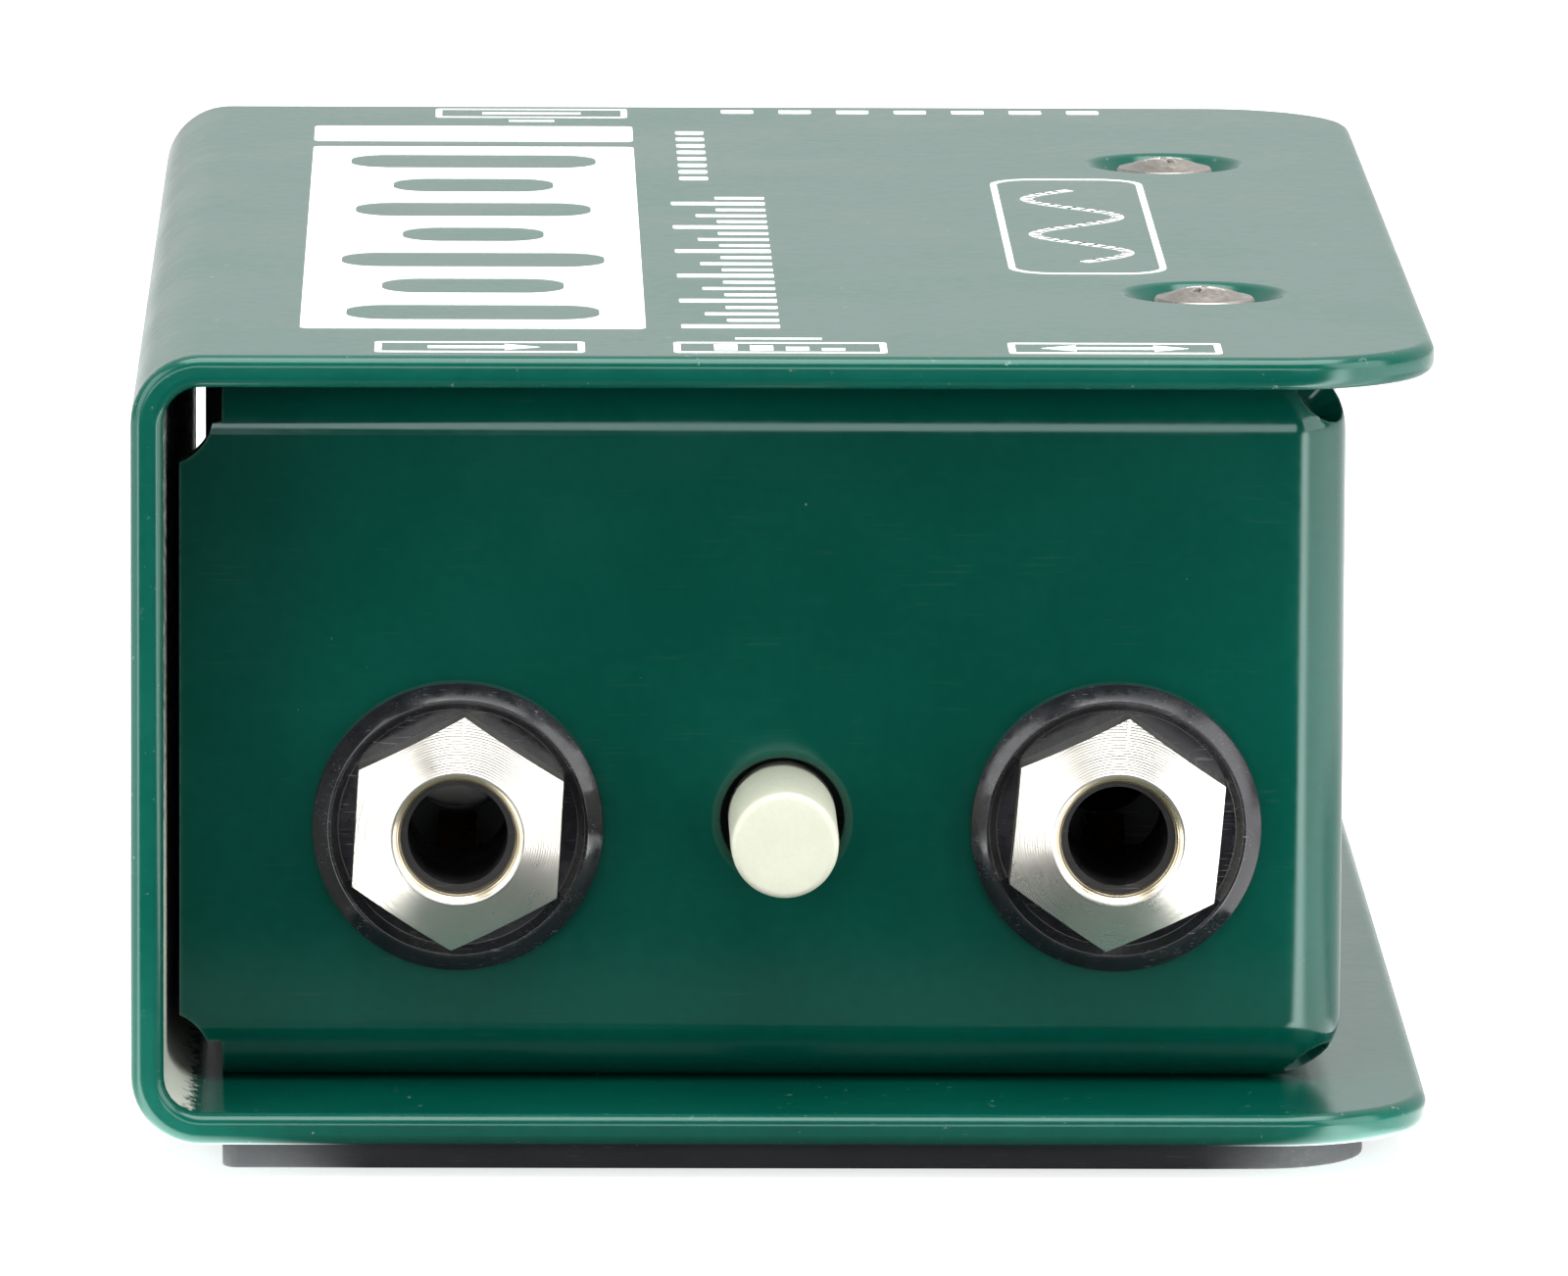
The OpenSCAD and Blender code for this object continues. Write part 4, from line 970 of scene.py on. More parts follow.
@dataclass
class Chassis:
    """The folded chassis: front panel, side wall, rear panel and their flanges."""

    palette: Palette
    screws: ScrewPlaces
    wall: float = 2.0
    bend: float = 4.3
    flange: float = 15.5
    mitre_gap: float = 0.5
    strip: float = 2.75
    scoop: float = 3.0
    scoop_heights: Point = (22.9, 24.1)
    notch_out: float = 1.25
    notches: Sequence[tuple[float, float, float]] = ((20.6, 3.47, 19.95), (21.9, 3.23, 20.75))
    coat_edge: float = 0.3
    jack_at: Sequence[Point] = ((-21.0, 21.6), (21.7, 21.6))
    jack_hole: float = 6.0
    button_at: dict = field(default_factory=lambda: {End.FRONT: (0.05, 22.0), End.REAR: (-16.0, 22.0)})
    button_hole: float = 4.0
    connector_at: Point = (11.6, 28.0)
    connector_hole: float = 12.0
    connector_screw_hole: float = 1.6
    standoffs: Sequence[Point] = ((-9, -44), (9.3, -44), (-28, 43), (26.5, 8))
    standoff_hole: float = 2.05

    def quarter(self, half_u: float, half_v: float, reach: float, upper: bool) -> list[Point]:
        """One quarter of the blank's outline, from the middle of the side wall's flange to the free edge.

        Args:
            half_u: half the side wall's flat length.
            half_v: half the side wall's flat height.
            reach: distance from the middle to the free edge along the blank.
            upper: True for the quarter at the top, whose notches differ a little from the lower one's.

        Returns:
            Points with both coordinates positive.
        """
        used = SheetBlank.allowance(self.bend)
        end_v = half_v + used + self.flange - self.bend
        root_v = half_v + used
        panel_u = half_u + used
        wall_gap = half_u - self.mitre_gap
        panel_gap = panel_u + self.mitre_gap
        which = 0 if upper else 1
        scoop = self.scoop
        centre = (wall_gap + scoop, self.scoop_heights[which])
        flat = end_v - root_v
        points = [(wall_gap - flat, end_v), (wall_gap, root_v)]
        points += arc(centre, scoop, 180, 360, 12)
        scoop_end = centre[0] + scoop
        points += [(scoop_end, root_v + scoop_end - panel_gap), (panel_gap + flat, end_v)]
        edge_u = reach - self.strip
        points += [(edge_u, end_v)]
        centre_v, radius, brim = self.notches[which]
        start = 180 + math.degrees(math.asin((centre_v - brim) / radius))
        stop = 180 + math.degrees(math.acos(self.notch_out / radius))
        notch = (reach + self.notch_out, centre_v)
        return points + [(edge_u, brim)] + arc(notch, radius, start, stop, 9)

    def build(self) -> bpy.types.Object:
        """Cuts the blank, folds the flanges and the two upright corners, and makes the holes.

        Returns:
            The chassis.
        """
        low, high = box_mm("chassis")
        mid_z = (low.z + high.z) / 2
        half_u, half_v = high.y - self.bend, (high.z - low.z) / 2 - self.bend
        reach = half_u + SheetBlank.allowance(self.bend) + high.x - self.bend - low.x
        top, bottom = (self.quarter(half_u, half_v, reach, upper) for upper in (True, False))
        outline = top + [(u, -v) for u, v in reversed(bottom)]
        outline += [(-u, -v) for u, v in bottom] + [(-u, v) for u, v in reversed(top)]
        blank = SheetBlank("chassis_sheet", outline, self.wall, self.bend)
        for axis, start in ((1, half_v), (1, -half_v), (0, half_u), (0, -half_u)):
            blank.fold(axis, start)
        blank.work.move(Matrix(((0, 0, 1, high.x), (1, 0, 0, 0), (0, 1, 0, mid_z), (0, 0, 0, 1))))
        cutters = Workpiece("cutters")
        self.front_holes(cutters, low.y)
        self.rear_holes(cutters, high.y)
        self.flange_holes(blank.work, cutters, low.z, high.z)
        blank.work.with_tool(cutters, Cut.AWAY)
        chassis = blank.work.finish(self.coat_edge, 3)
        return Assembly(self.palette).tie(chassis, "chassis_coat", ["chassis"])

    def button_tool(self) -> Workpiece:
        """A drill for a button's hole, with a rounded mouth at z = 0 and the panel below it."""
        soft = 0.65
        wide = self.button_hole + soft
        mouth = arc((wide, -soft), soft, 97, 180, 6)
        outline = [(0.0, 0.8), (wide + 0.6, 0.8), (wide + 0.6, 0.06), *mouth,
                   (self.button_hole, -4.0), (0.0, -4.0)]
        return Workpiece("button_drill").turn(outline, 64)

    def front_holes(self, cutters: Workpiece, face: float) -> None:
        """Adds the drills of the two jack holes and the button's hole."""
        for x, z in self.jack_at:
            place = facing(End.FRONT, Vector((x, face, z)))
            cutters.join(Workpiece("drill").rod(self.jack_hole, -4, 1, sides=64).move(place))
        x, z = self.button_at[End.FRONT]
        cutters.join(self.button_tool().move(facing(End.FRONT, Vector((x, face, z)))))

    def rear_holes(self, cutters: Workpiece, face: float) -> None:
        """Adds the drills of the lift button's hole and the output connector's three holes."""
        x, z = self.button_at[End.REAR]
        cutters.join(self.button_tool().move(facing(End.REAR, Vector((x, face, z)))))
        x, z = self.connector_at
        drills = Workpiece("drill").rod(self.connector_hole, -4, 1, sides=64)
        for at in CONNECTOR_SCREWS:
            drills.rod(self.connector_screw_hole, -4, 1, at)
        cutters.join(drills.move(facing(End.REAR, Vector((x, face, z)))))

    def flange_holes(self, work: Workpiece, cutters: Workpiece, low: float, high: float) -> None:
        """Adds the flange's dimples under the shell's, and the screw and standoff drills."""
        bulges = Workpiece("bulges")
        for x, y in self.screws.all():
            at = Matrix.Translation((x, y, 0))
            bulges.join(self.screws.bulge(high, 6.1, 4.7, 2.4, 48).move(at))
            cutters.join(self.screws.recess_tool("recess", high, 5.1, 0.9, 4.0).move(at))
            cutters.rod(self.screws.hole_radius, low - 1, low + 4, (x, y))
        for x, y in self.standoffs:
            cutters.rod(self.standoff_hole, low - 1, low + 4, (x, y))
        work.with_tool(bulges, Cut.ON)


@dataclass
class BasePad:
    """The die-cut rubber pad: square at the left, rounded at the right, open round the screws."""

    palette: Palette
    screws: ScrewPlaces
    right_corner: float = 7.0
    left_corner: float = 1.0
    hole: float = 4.95

    def build(self) -> bpy.types.Object:
        """Cuts the pad and softens its edges.

        Returns:
            The pad.
        """
        low, high = box_mm("base_pad")
        pad = Workpiece("base_pad_rubber")
        bm = pad.bm
        bmesh.ops.create_grid(bm, x_segments=1, y_segments=1, size=0.5)
        bmesh.ops.scale(bm, vec=(high.x - low.x, high.y - low.y, 1), verts=bm.verts[:])
        mid = (low.x + high.x) / 2
        bmesh.ops.translate(bm, vec=(mid, 0, high.z), verts=bm.verts[:])
        for corner, right in ((self.left_corner, False), (self.right_corner, True)):
            ends = [v for v in bm.verts if (v.co.x > mid) is right and len(v.link_edges) == 2]
            bmesh.ops.bevel(bm, geom=ends, offset=corner, offset_type="OFFSET", segments=10, profile=0.5,
                            affect="VERTICES", material=-1)
        pad.wall = high.z - low.z
        for x, y in self.screws.all():
            pad.with_tool(Workpiece("pad_drill").rod(self.hole, low.z - 1, high.z + 1, (x, y)), Cut.AWAY)
        return Assembly(self.palette).tie(pad.finish(0.18, 2), "pad_rubber", ["base_pad"])


def cross_driver(scale: float = 1.0) -> list[Workpiece]:
    """The two tapered wings that sink a screw's cross recess.

    Args:
        scale: their size against a screw with a 3.45 mm head radius.

    Returns:
        One tool for each wing.
    """
    tip, mouth, depth, middle = 0.75, 2.05, 2.2, 1.75
    square = Matrix.Rotation(math.radians(45), 4, "Z")
    flat = Matrix.Diagonal((1.38 * scale, 0.27 * scale, scale, 1))
    wings = []
    for turn in (0, 90):
        wing = Workpiece("driver_wing")
        bmesh.ops.create_cone(wing.bm, cap_ends=True, segments=4, radius1=tip, radius2=mouth,
                              depth=depth, matrix=square)
        spin = Matrix.Rotation(math.radians(turn), 4, "Z")
        wings.append(wing.move(Matrix.Translation((0, 0, middle * scale)) @ spin @ flat))
    return wings


@dataclass
class PanScrews:
    """Pan-head screws with a cross recess, in pairs."""

    palette: Palette
    screws: ScrewPlaces
    head: float = 3.45
    height: float = 2.0
    dome: float = 6.2
    shoulder: float = 0.75
    shank: float = 1.7

    def pair(self, name: str, node: str, up: bool, turns: Sequence[float]) -> bpy.types.Object:
        """Makes the two screws of one face.

        Args:
            name: the piece's name.
            node: the frame's node that they stand for.
            up: True where the heads face up.
            turns: how far each screw is turned, in degrees.

        Returns:
            The pair as one piece.
        """
        low, high = box_mm(node)
        piece = Workpiece(name)
        length = high.z - low.z - self.height
        seat = high.z - self.height if up else low.z + self.height
        crown = arc((0.0, self.height - self.dome), self.dome, 90, 64, 6)
        rim = arc((self.head - self.shoulder, self.shoulder), self.shoulder, 52, 0, 4)
        outline = [*crown, *rim, (self.head, 0.12), (self.head - 0.12, 0.0), (self.shank, 0.0),
                   (self.shank, -length + 0.5), (self.shank - 0.5, -length), (0.0, -length)]
        flip = Matrix.Identity(4) if up else Matrix.Rotation(math.pi, 4, "X")
        for (x, y), turn in zip(self.screws.all(), turns):
            one = Workpiece("screw").turn(outline, 56)
            place = Matrix.Translation((x, y, seat)) @ flip @ Matrix.Rotation(math.radians(turn), 4, "Z")
            piece.join(one.move(place))
            for wing in cross_driver():
                piece.with_tool(wing.move(place), Cut.AWAY)
        return Assembly(self.palette).tie(piece.finish(0.07, 2, 40), "screw_steel", [node])


@dataclass
class Jack:
    """One quarter-inch jack's outer parts: bevelled washer and hexagonal nut."""

    palette: Palette
    which: str
    finish: str
    nut_turn: float
    flats: float = 13.3
    nut_bore: float = 3.7
    thread: float = 5.95
    rim: float = 4.25
    slope: float = 0.546
    washer_bore: float = 6.05

    def washer(self) -> bpy.types.Object:
        """Makes the black washer: a flat seat, a raised ring and a wide bevel.

        Returns:
            The washer.
        """
        node = f"{self.which}_washer"
        low, high = box_mm(node)
        outer, thick = (high.x - low.x) / 2, high.y - low.y
        foot = [(self.washer_bore, 0.0), (outer - 0.15, 0.0), *arc((outer - 0.15, 0.15), 0.15, -90, 0, 3)[1:]]
        bevel = arc((outer - 0.3, 0.45), 0.3, 0, 40, 3) + arc((outer - 1.1, thick - 0.22), 0.22, 42, 90, 3)
        step = arc((8.3, thick - 0.12), 0.12, 90, 140, 2) + [(7.82, 0.66), (7.7, 0.6), (self.washer_bore, 0.6)]
        ring = Workpiece(f"{node}_ring").turn(foot + bevel + step, 128, True)
        ring.move(facing(End.FRONT, inner_face(node, End.FRONT)))
        return Assembly(self.palette).tie(ring.finish(sharp=40), "washer_black", [node])

    def nut(self) -> bpy.types.Object:
        """Makes the nut: a hexagon whose outer face is turned to a cone, with a chamfered mouth.

        Returns:
            The nut.
        """
        node = f"{self.which}_nut"
        low, high = box_mm(node)
        tall, reach = high.y - low.y, self.flats / math.sqrt(3)
        piece = Workpiece(f"{node}_hex").rod(reach, -0.5, tall + 1, sides=6)
        piece.move(Matrix.Rotation(math.radians(self.nut_turn), 4, "Z"))
        wide = reach + 1.2
        ring = [(self.thread, 0.0), (wide, 0.0), (wide, tall - (wide - self.rim) * self.slope),
                (self.rim + 0.22, tall - 0.12), (self.rim + 0.06, tall), (self.rim - 0.08, tall - 0.04),
                (self.nut_bore, tall - 0.62), (self.nut_bore, 3.0), (self.thread, 3.0)]
        piece.with_tool(Workpiece("turning").turn(ring, 160, True), Cut.MEET)
        obj = piece.finish(0.13, 3, 38)
        obj.data.transform(facing(End.FRONT, inner_face(node, End.FRONT) * MM))
        return Assembly(self.palette).tie(obj, self.finish, [node])

    def build(self) -> None:
        """Makes both parts."""
        self.washer()
        self.nut()


@dataclass
class ButtonCap:
    """An ivory push-button cap with a soft rim and a square socket for its stem."""

    palette: Palette
    node: str
    body: str
    end: End
    radius: float = 3.5
    rim: float = 0.45
    socket: float = 2.66

    def build(self) -> bpy.types.Object:
        """Turns the cap and sinks its socket.

        Returns:
            The cap.
        """
        low, high = box_mm(self.node)
        tall = high.y - low.y
        face = arc((self.radius - self.rim - 0.04, tall - self.rim), self.rim, 90, 4, 7)
        outline = [(0.0, tall), (2.2, tall), *face, (self.radius, tall - 1.6), (self.radius, 0.25),
                   (self.radius - 0.25, 0.0), (0.0, 0.0)]
        cap = Workpiece(f"{self.node}_turned").turn(outline, 96)
        cap.with_tool(Workpiece("socket").block((self.socket, self.socket, 8), (0, 0, 3)), Cut.AWAY)
        obj = cap.finish(sharp=40)
        obj.data.transform(facing(self.end, inner_face(self.node, self.end) * MM))
        return Assembly(self.palette).tie(obj, "button_ivory", [self.node], self.body)


@dataclass
class OutputConnector:
    """The three-pin connector: flanged housing with a keyed cavity, insert, pins and screws."""

    palette: Palette
    wide: float = 26.0
    high: float = 31.0
    flange: float = 2.2
    corner: float = 2.5
    cavity: float = 8.15
    lip: float = 1.0
    barrel: float = 11.6
    floor: float = -11.4
    back: float = -19.0
    insert: float = 9.5
    pin: float = 1.2
    key: Sequence[float] = (2.2, 1.4, 12.8)
    pin_reach: float = 3.81
    screw_hole: float = 1.6
    screw_turns: Point = (12, 70)

    def place(self, scale: float = 1.0) -> Matrix:
        """Where the connector's axis meets the rear panel's face."""
        low, high = box_mm("xlr_housing")
        panel = high.y - self.lip - self.flange
        return facing(End.REAR, Vector(((low.x + high.x) / 2, panel, (low.z + high.z) / 2)) * scale)

    def housing(self) -> bpy.types.Object:
        """Makes the housing.

        Returns:
            The housing.
        """
        piece = Workpiece("output_connector_housing")
        piece.block((self.wide, self.high, self.flange), (0, 0, self.flange / 2), self.corner)
        piece.with_tool(Workpiece("barrel").rod(self.barrel, self.back, 0.5, sides=96), Cut.ON)
        lip_top = self.flange + self.lip
        outer = self.cavity + 1.5
        lip = [(0.0, 1.0), (outer + 0.35, 1.0), (outer + 0.35, self.flange), (outer + 0.1, self.flange + 0.12),
               *arc((outer - 0.3, lip_top - 0.3), 0.3, 0, 90, 4), (0.0, lip_top)]
        piece.with_tool(Workpiece("lip").turn(lip), Cut.ON)
        bore = [(0.0, lip_top + 1), (self.cavity + 0.35, lip_top + 1), (self.cavity + 0.35, lip_top),
                *arc((self.cavity + 0.35, lip_top - 0.35), 0.35, 100, 180, 4), (self.cavity, self.floor - 0.5),
                (0.0, self.floor - 0.5)]
        cavity = Workpiece("bore").turn(bore)
        key = Workpiece("key").block(self.key, (0, self.cavity - 0.5, -5.6), 0.3)
        piece.with_tool(cavity, Cut.AWAY).with_tool(key, Cut.ON)
        insert_seat = Workpiece("seat").rod(self.insert + 0.05, self.back - 1, self.floor, sides=96)
        piece.with_tool(insert_seat, Cut.AWAY)
        drills = Workpiece("screw_drill")
        for at in CONNECTOR_SCREWS:
            drills.rod(self.screw_hole, -1, self.flange + 1, at)
        piece.with_tool(drills, Cut.AWAY)
        obj = piece.finish(0.22, 3, 40)
        obj.data.transform(self.place(MM))
        return Assembly(self.palette).tie(obj, "connector_nickel", ["xlr_housing"])

    def pins(self) -> bpy.types.Object:
        """Makes the three pins with round tips in front and solder cups behind.

        Returns:
            The pins as one piece.
        """
        tip, reach = self.flange + self.lip - 1.6, self.pin_reach
        cup = [(0.0, -21.0), (1.0, -21.0), (1.0, -23.9), (1.1, -24.0), (1.4, -24.0), (1.5, -23.9),
               (1.5, -17.6), (self.pin, -17.5)]
        outline = [*cup, *arc((0.0, tip - self.pin), self.pin, 0, 90, 8)]
        piece = Workpiece("output_connector_pins")
        for x, y in ((-reach, 0), (reach, 0), (0, -reach)):
            piece.join(Workpiece("pin").turn(outline, 40).move(Matrix.Translation((x, y, 0))))
        obj = piece.finish(sharp=45)
        obj.data.transform(self.place(MM))
        return Assembly(self.palette).tie(obj, "pin_plating", ["xlr_pins"])

    def screws(self) -> bpy.types.Object:
        """Makes the two pan-head screws that hold the flange.

        Returns:
            The screws as one piece.
        """
        low, high = box_mm("xlr_screws")
        head, tall, shank = 2.75, 1.7, 1.45
        length = high.y - low.y - tall
        outline = [*arc((0.0, tall - 5.0), 5.0, 90, 64, 6), *arc((head - 0.6, 0.6), 0.6, 52, 0, 4),
                   (head, 0.1), (head - 0.1, 0.0), (shank, 0.0), (shank, 0.4 - length),
                   (shank - 0.4, -length), (0.0, -length)]
        piece = Workpiece("output_connector_screws")
        for (x, y), turn in zip(CONNECTOR_SCREWS, self.screw_turns):
            place = Matrix.Translation((x, y, self.flange)) @ Matrix.Rotation(math.radians(turn), 4, "Z")
            piece.join(Workpiece("screw").turn(outline, 48).move(place))
            for wing in cross_driver(0.82):
                piece.with_tool(wing.move(place), Cut.AWAY)
        obj = piece.finish(0.06, 2, 40)
        obj.data.transform(self.place(MM))
        return Assembly(self.palette).tie(obj, "screw_steel", ["xlr_screws"])

    def build(self) -> None:
        """Makes the housing, the pins and the screws; insert, tab and nuts keep their shapes."""
        self.housing()
        self.pins()
        self.screws()


@dataclass
class TopPrint:
    """The white printing on the top plate: plain bars, frames, arrows and a wave, and no lettering."""

    palette: Palette
    ink: float = 0.03
    line: float = 0.45
    parts: list[Workpiece] = field(default_factory=list)

    def bar(self, x0: float, x1: float, y0: float, y1: float, corner: float = 0.0) -> Workpiece:
        """A filled bar of ink between two corners."""
        size, centre = (x1 - x0, y1 - y0, 2 * self.ink), ((x0 + x1) / 2, (y0 + y1) / 2, 0)
        return Workpiece("bar").block(size, centre, corner)

    def frame_of(self, x0: float, x1: float, y0: float, y1: float, corner: float = 0.4) -> Workpiece:
        """An outlined box of ink."""
        w = self.line
        inner = self.bar(x0 + w, x1 - w, y0 + w, y1 - w, max(corner - w, 0.1))
        inner.move(Matrix.Diagonal((1, 1, 3, 1)))
        return self.bar(x0, x1, y0, y1, corner).with_tool(inner, Cut.AWAY)

    def arrow(self, x: float, y: float, size: float, turn: float) -> Workpiece:
        """A filled triangle that points along +Y at a turn of 0."""
        piece = Workpiece("arrow").rod(size, -self.ink, self.ink, sides=3)
        spin = Matrix.Rotation(math.radians(turn), 4, "Z")
        return piece.move(Matrix.Translation((x, y, 0)) @ spin)

    def level_panel(self) -> None:
        """The large white panel with a row of rounded level bars left open, and its end bar."""
        panel = self.bar(-31.3, -8.9, -50.5, 40.5, 0.6)
        lengths = (16.5, 12.0, 17.5, 9.5, 16.0, 11.0, 17.0)
        middle, first, pitch, tall, corner = -20.1, -43.0, 12.6, 7.0, 2.6
        gaps = Workpiece("gaps")
        for i, length in enumerate(lengths):
            gaps.block((length, tall, 1), (middle, first + pitch * i, 0), corner)
        self.parts += [panel.with_tool(gaps, Cut.AWAY), self.bar(-31.3, -8.9, 43.5, 51.7, 0.6)]

    def scales(self) -> None:
        """The graduated strip beside the panel, and the short one behind it."""
        for i in range(22):
            y = -50.0 + 3.0 * i
            long = -6.6 if i % 4 == 0 else (-5.0 if i % 2 == 0 else -3.6)
            self.parts.append(self.bar(long, -0.2, y, y + (1.5 if i % 4 == 0 else 1.1), 0.15))
        for i in range(8):
            self.parts.append(self.bar(-5.9, -3.9, 23.0 + 3.5 * i, 24.6 + 3.5 * i, 0.3))

    def wave_mark(self) -> None:
        """A plain sine wave in a rounded frame, where the plate is otherwise empty."""
        self.parts.append(self.frame_of(15.5, 26.0, -24.0, 24.0, 3.0))
        curve = [(20.75 + 3.0 * math.sin(t / 24 * math.tau), -18.0 + 36.0 * t / 48) for t in range(49)]
        for (x0, y0), (x1, y1) in zip(curve, curve[1:]):
            along = Vector((x1 - x0, y1 - y0))
            piece = Workpiece("stroke").block((0.8, along.length + 0.35, 2 * self.ink), (0, 0, 0))
            turn = Matrix.Rotation(math.atan2(-along.x, along.y), 4, "Z")
            self.parts.append(piece.move(Matrix.Translation(((x0 + x1) / 2, (y0 + y1) / 2, 0)) @ turn))

    def labels(self) -> None:
        """The outlined boxes over the jacks, the buttons and the connector, each with a plain sign."""
        for x0, x1 in ((-26.4, -12.9), (-7.2, 6.5), (14.3, 28.0)):
            self.parts.append(self.frame_of(x0, x1, -61.4, -56.6))
        self.parts += [self.bar(-23.0, -18.0, -59.5, -58.5), self.arrow(-17.3, -59.0, 1.5, -90)]
        self.parts += [self.bar(-4.6 + 2.3 * i, -3.1 + 2.3 * i, -60.2, -60.2 + 2.6 - 0.55 * i)
                       for i in range(4)]
        self.parts += [self.bar(-3.2, 2.4, -55.2, -54.6)]
        self.parts += [self.bar(18.6, 23.6, -59.5, -58.5), self.arrow(24.4, -59.0, 1.5, -90),
                       self.arrow(17.9, -59.0, 1.5, 90)]
        self.parts += [self.frame_of(-22.8, -9.2, 56.6, 61.4), self.bar(-19.5, -12.5, 58.6, 59.4),
                       self.bar(-17.6, -14.4, 54.4, 55.2)]
        self.parts += [self.bar(-2.5 + 4.1 * i, -0.2 + 4.1 * i, 59.2, 60.9, 0.2) for i in range(7)]

    def build(self) -> bpy.types.Object:
        """Prints every mark in one thin layer on the plate.

        Returns:
            The printing.
        """
        self.level_panel()
        self.scales()
        self.wave_mark()
        self.labels()
        whole = Workpiece("top_print")
        for part in self.parts:
            obj = part.finish()
            obj.modifiers.clear()
            obj.data.transform(Matrix.Scale(1 / MM, 4))
            whole.bm.from_mesh(obj.data)
            bpy.data.meshes.remove(obj.data)
        obj = whole.finish()
        _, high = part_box("outer_shell")
        obj.data.transform(Matrix.Translation((0, 0, high.z)))
        return Assembly(self.palette).tie(obj, "print_white")


@dataclass
class InnerParts:
    """The frame's own parts that keep their shapes: each gets its finish and softened edges."""

    palette: Palette
    edge: float = 0.09
    sharp: float = 50.0

    def finish_of(self, node: str) -> str:
        """The finish for a frame node, from its name: the wires by name, and every other node by the kind of
        part that its name holds.
        """
        wires = {"hot_wire": "wire_red", "cold_wire": "wire_white", "shield_wire": "wire_black"}
        if node in wires:
            return wires[node]
        kinds = {
            "spring": "spring_steel", "plunger": "plunger_grey", "housing": "moulded_black",
            "insert": "moulded_black", "jack_body": "moulded_black", "contact": "contact_brass",
            "bridges": "contact_brass", "terminals": "contact_brass", "tab": "contact_brass",
            "shield": "mu_metal", "core": "lamination", "bobbin": "bobbin_natural",
            "header": "bobbin_natural", "winding": "enamel_copper", "pins": "pin_plating",
            "board_": "screw_steel", "circuit": "board_green", "pad_resistors": "resistor_blue",
            "lift_resistor": "resistor_tan", "capacitors": "film_red", "nuts": "screw_steel",
            "screws": "screw_steel",
        }
        return next(finish for part, finish in kinds.items() if part in node)

    def build(self, nodes: dict[str, bpy.types.Object]) -> None:
        """Dresses every frame node that is still shown.

        Args:
            nodes: the frame's nodes by name.
        """
        for name, obj in sorted(nodes.items()):
            if obj.hide_render:
                continue
            finish = self.finish_of(name)
            material = self.palette.get(finish)
            for slot in obj.material_slots:
                slot.material = material
            if not obj.material_slots:
                obj.data.materials.append(material)
            if "spring" not in name:
                weld = obj.modifiers.new("weld", "WELD")
                weld.merge_threshold = 2e-6
                soft = obj.modifiers.new("soft_edges", "BEVEL")
                soft.width, soft.segments, soft.limit_method = self.edge * MM, 2, "ANGLE"
                soft.angle_limit, soft.use_clamp_overlap = math.radians(self.sharp), True
            log.info("%s: frame node, finish %s", name, finish)


# ---------------------------------------------------------------- studio


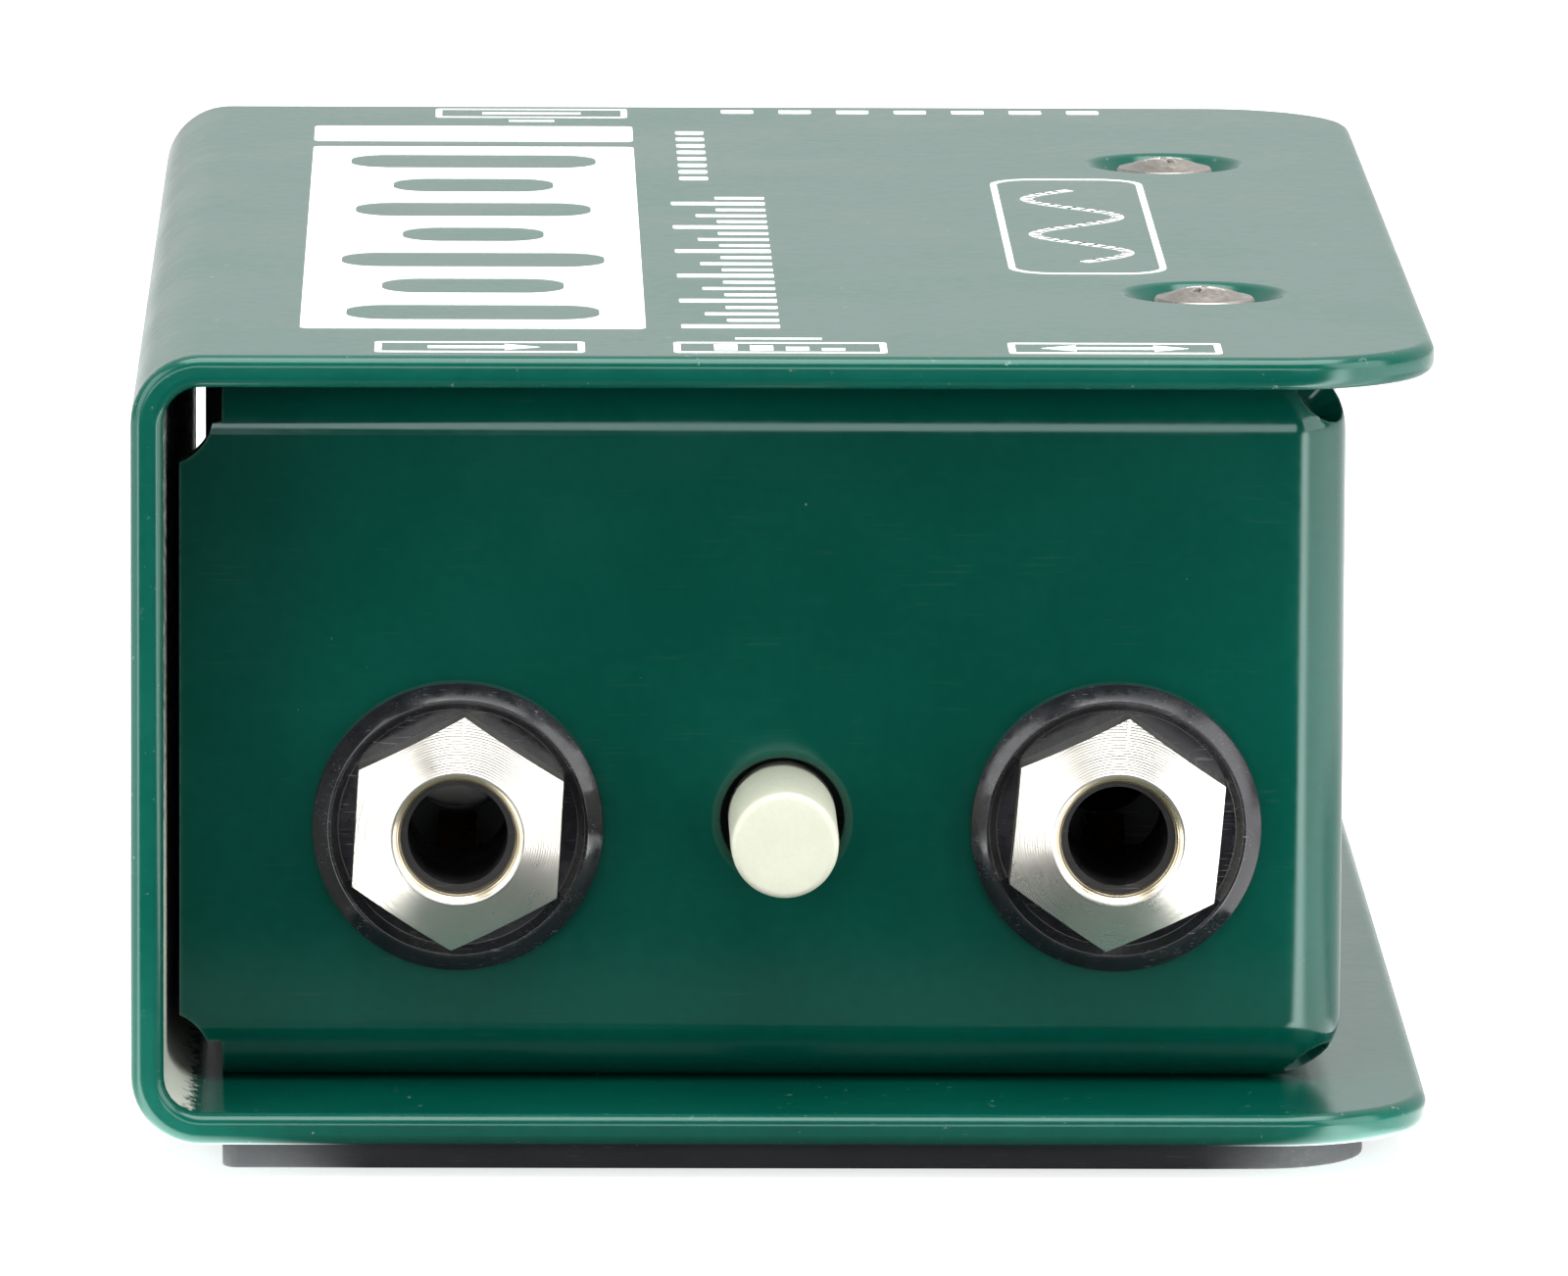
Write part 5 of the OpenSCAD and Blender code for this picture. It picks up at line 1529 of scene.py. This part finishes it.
@dataclass
class Studio:
    """Camera, pale floor, soft lights and surroundings."""

    lens: float = 384.88
    camera_at: Sequence[float] = (-19.756, -1124.805, 205.464)
    yaw: float = 1.061
    pitch: float = 9.089
    roll: float = 0.297
    strip_glow: float = 5.0
    side_glow: float = 1.8
    back_glow: float = 0.5
    seen_glow: float = 0.62
    floor_radius: float = 6.0
    # Where the floor's mirrored light changes: bearings from straight ahead, in radians,
    # and lengths in metres.
    open_bearing: Point = (0.60, 0.72)
    strip_bearing: Point = (0.76, 0.92)
    near_bearing: Point = (1.2, 1.45)
    far_bearing: Point = (1.3, 2.1)
    far_from: Point = (0.15, 0.20)
    right_to_left: Point = (-0.02, 0.02)
    left_to_right: Point = (-0.05, 0.05)
    shade_from: Point = (-0.135, -0.11)

    def camera(self) -> None:
        """Sets up the camera."""
        data = bpy.data.cameras.new("camera")
        data.sensor_width, data.lens, data.sensor_fit = 36.0, self.lens, "HORIZONTAL"
        data.clip_start, data.clip_end = 0.05, 60.0
        yaw, pitch, roll = (math.radians(a) for a in (self.yaw, self.pitch, self.roll))
        ahead = Vector((math.sin(yaw) * math.cos(pitch), math.cos(yaw) * math.cos(pitch), -math.sin(pitch)))
        level = Vector((math.cos(yaw), -math.sin(yaw), 0))
        up = level.cross(ahead)
        right = math.cos(roll) * level + math.sin(roll) * up
        over = math.cos(roll) * up - math.sin(roll) * level
        turn = Matrix((right, over, -ahead)).transposed().to_4x4()
        camera = new_object("camera", data)
        camera.matrix_world = Matrix.Translation(Vector(self.camera_at) * MM) @ turn
        bpy.context.scene.camera = camera

    def floor(self) -> None:
        """Lays a wide pale floor, even to the eye, and uneven where the box mirrors it."""
        bm = bmesh.new()
        bmesh.ops.create_circle(bm, cap_ends=True, segments=64, radius=self.floor_radius)
        mesh = bpy.data.meshes.new("floor")
        bm.to_mesh(mesh)
        bm.free()
        floor = new_object("floor", mesh)
        made = bpy.data.materials.new("pale_floor")
        g = Graph.fresh(made)
        place = g.add("TexCoord").outputs["Object"]
        paper = g.span(g.noise(place, 900.0, 3.0), 0.2, 0.8, 0.55, 0.65)
        lit = g.add("BsdfDiffuse", {"Color": (0.55, 0.55, 0.55), "Roughness": paper})
        glow = g.add("Emission", {"Color": WHITE, "Strength": self.seen_glow})
        eye = g.add("AddShader", {0: lit.outputs[0], 1: glow.outputs[0]})
        seen = g.add("LightPath").outputs["Is Camera Ray"]
        mix = g.add("MixShader", {0: seen, 1: self.mirrored_floor(g, place), 2: eye.outputs[0]})
        g.add("OutputMaterial", {0: mix.outputs[0]})
        mesh.materials.append(made)

    def mirrored_floor(self, g: Graph, place: bpy.types.NodeSocket) -> bpy.types.NodeSocket:
        """The floor as the box mirrors it: dark in front, with a bright strip and glowing sides.

        Args:
            g: the floor material's graph.
            place: the floor's own coordinates.

        Returns:
            The shader's socket.
        """
        aside, ahead = g.axis(place, "X"), g.axis(place, "Y")
        bearing = g.math("ARCTAN2", g.math("ABSOLUTE", aside), g.math("MULTIPLY_ADD", ahead, -1.0, -0.02))
        open_side = g.span(bearing, *self.open_bearing)
        strip = g.math("MULTIPLY", open_side, g.span(bearing, *self.strip_bearing, self.strip_glow, 0.0))
        far = g.math("MAXIMUM", g.span(g.length(place), *self.far_from),
                     g.span(aside, *self.right_to_left, 1.0, 0.0))
        beside = g.blend_value(far, g.span(bearing, *self.near_bearing, self.side_glow, 0.05),
                               g.span(bearing, *self.far_bearing, self.side_glow, self.back_glow))
        uneven = g.math("MULTIPLY", beside, g.span(aside, *self.left_to_right, 0.6, 1.0))
        strength = g.math("ADD", strip, g.math("MULTIPLY", open_side, uneven))
        shade = g.math("MAXIMUM", g.span(g.span(ahead, *self.shade_from), 0.0, 1.0, 0.02, 0.17),
                       g.span(open_side, 0.0, 1.0, 0.03, 0.5))
        dim = g.add("BsdfDiffuse", {"Color": g.blend(shade, (0, 0, 0), WHITE)})
        card = g.add("Emission", {"Color": WHITE, "Strength": strength})
        return g.add("AddShader", {0: dim.outputs[0], 1: card.outputs[0]}).outputs[0]

    def softbox(self, name: str, at: Sequence[float], aim: Sequence[float], size: Point, power: float,
                colour: Colour = WHITE) -> None:
        """Hangs a soft rectangular light.

        Args:
            name: the light's name.
            at: where it hangs, in metres.
            aim: the point that it faces, in metres.
            size: its width and height, in metres.
            power: its power in watts.
            colour: its colour.
        """
        data = bpy.data.lights.new(name, "AREA")
        data.shape, data.size, data.size_y = "RECTANGLE", size[0], size[1]
        data.energy, data.color = power, colour
        light = new_object(name, data)
        light.location = at
        light.rotation_euler = (Vector(aim) - Vector(at)).to_track_quat("-Z", "Y").to_euler()

    def surroundings(self) -> None:
        """White backdrop behind the box, dim room on the other side."""
        world = bpy.data.worlds.new("studio")
        bpy.context.scene.world = world
        g = Graph.fresh(world)
        ray = g.add("TexCoord").outputs["Generated"]
        ahead, high = g.axis(ray, "Y"), g.axis(ray, "Z")
        back = g.span(ahead, -0.25, 0.55, 0.03, 0.78)
        ceiling = g.span(high, 0.35, 0.8, 0.0, 0.25)
        room = g.add("Background", {"Color": WHITE, "Strength": g.math("ADD", back, ceiling)})
        white = g.add("Background", {"Color": WHITE, "Strength": 1.0})
        seen = g.add("LightPath").outputs["Is Camera Ray"]
        mix = g.add("MixShader", {0: seen, 1: room.outputs[0], 2: white.outputs[0]})
        g.add("OutputWorld", {0: mix.outputs[0]})

    def build(self) -> None:
        """Sets up everything."""
        bpy.context.scene.view_settings.view_transform = "Standard"
        self.camera()
        self.floor()
        self.surroundings()
        self.softbox("over", (0.1, -0.32, 1.25), (0, 0, 0.02), (1.15, 1.1), 25)
        self.softbox("front", (0.0, -1.65, 0.28), (0, 0, 0.03), (1.7, 0.36), 9, (0.93, 0.96, 1.0))
        self.softbox("left", (-1.3, -0.85, 0.70), (0, -0.05, 0.03), (1.3, 1.3), 20)
        self.softbox("right", (1.35, -0.75, 0.65), (0, -0.05, 0.03), (1.3, 1.3), 20)


def main() -> None:
    """Builds the studio and the box."""
    logging.basicConfig(level=logging.INFO, format="%(name)s: %(message)s")
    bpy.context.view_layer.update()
    Studio().build()
    palette, screws = Palette(), ScrewPlaces()
    OuterShell(palette, screws).build()
    Chassis(palette, screws).build()
    BasePad(palette, screws).build()
    fasteners = PanScrews(palette, screws)
    fasteners.pair("top_plate_screws", "top_screws", True, (65, 20))
    fasteners.pair("bottom_plate_screws", "bottom_screws", False, (12, 57))
    Jack(palette, "input_jack", "nut_nickel_left", -3.2).build()
    Jack(palette, "thru_jack", "nut_nickel_right", -5.3).build()
    ButtonCap(palette, "pad_button_cap", "pad_button", End.FRONT).build()
    ButtonCap(palette, "lift_button_cap", "lift_button", End.REAR).build()
    OutputConnector(palette).build()
    TopPrint(palette).build()
    InnerParts(palette).build(frame["nodes"])


if __name__ == "__main__":
    main()
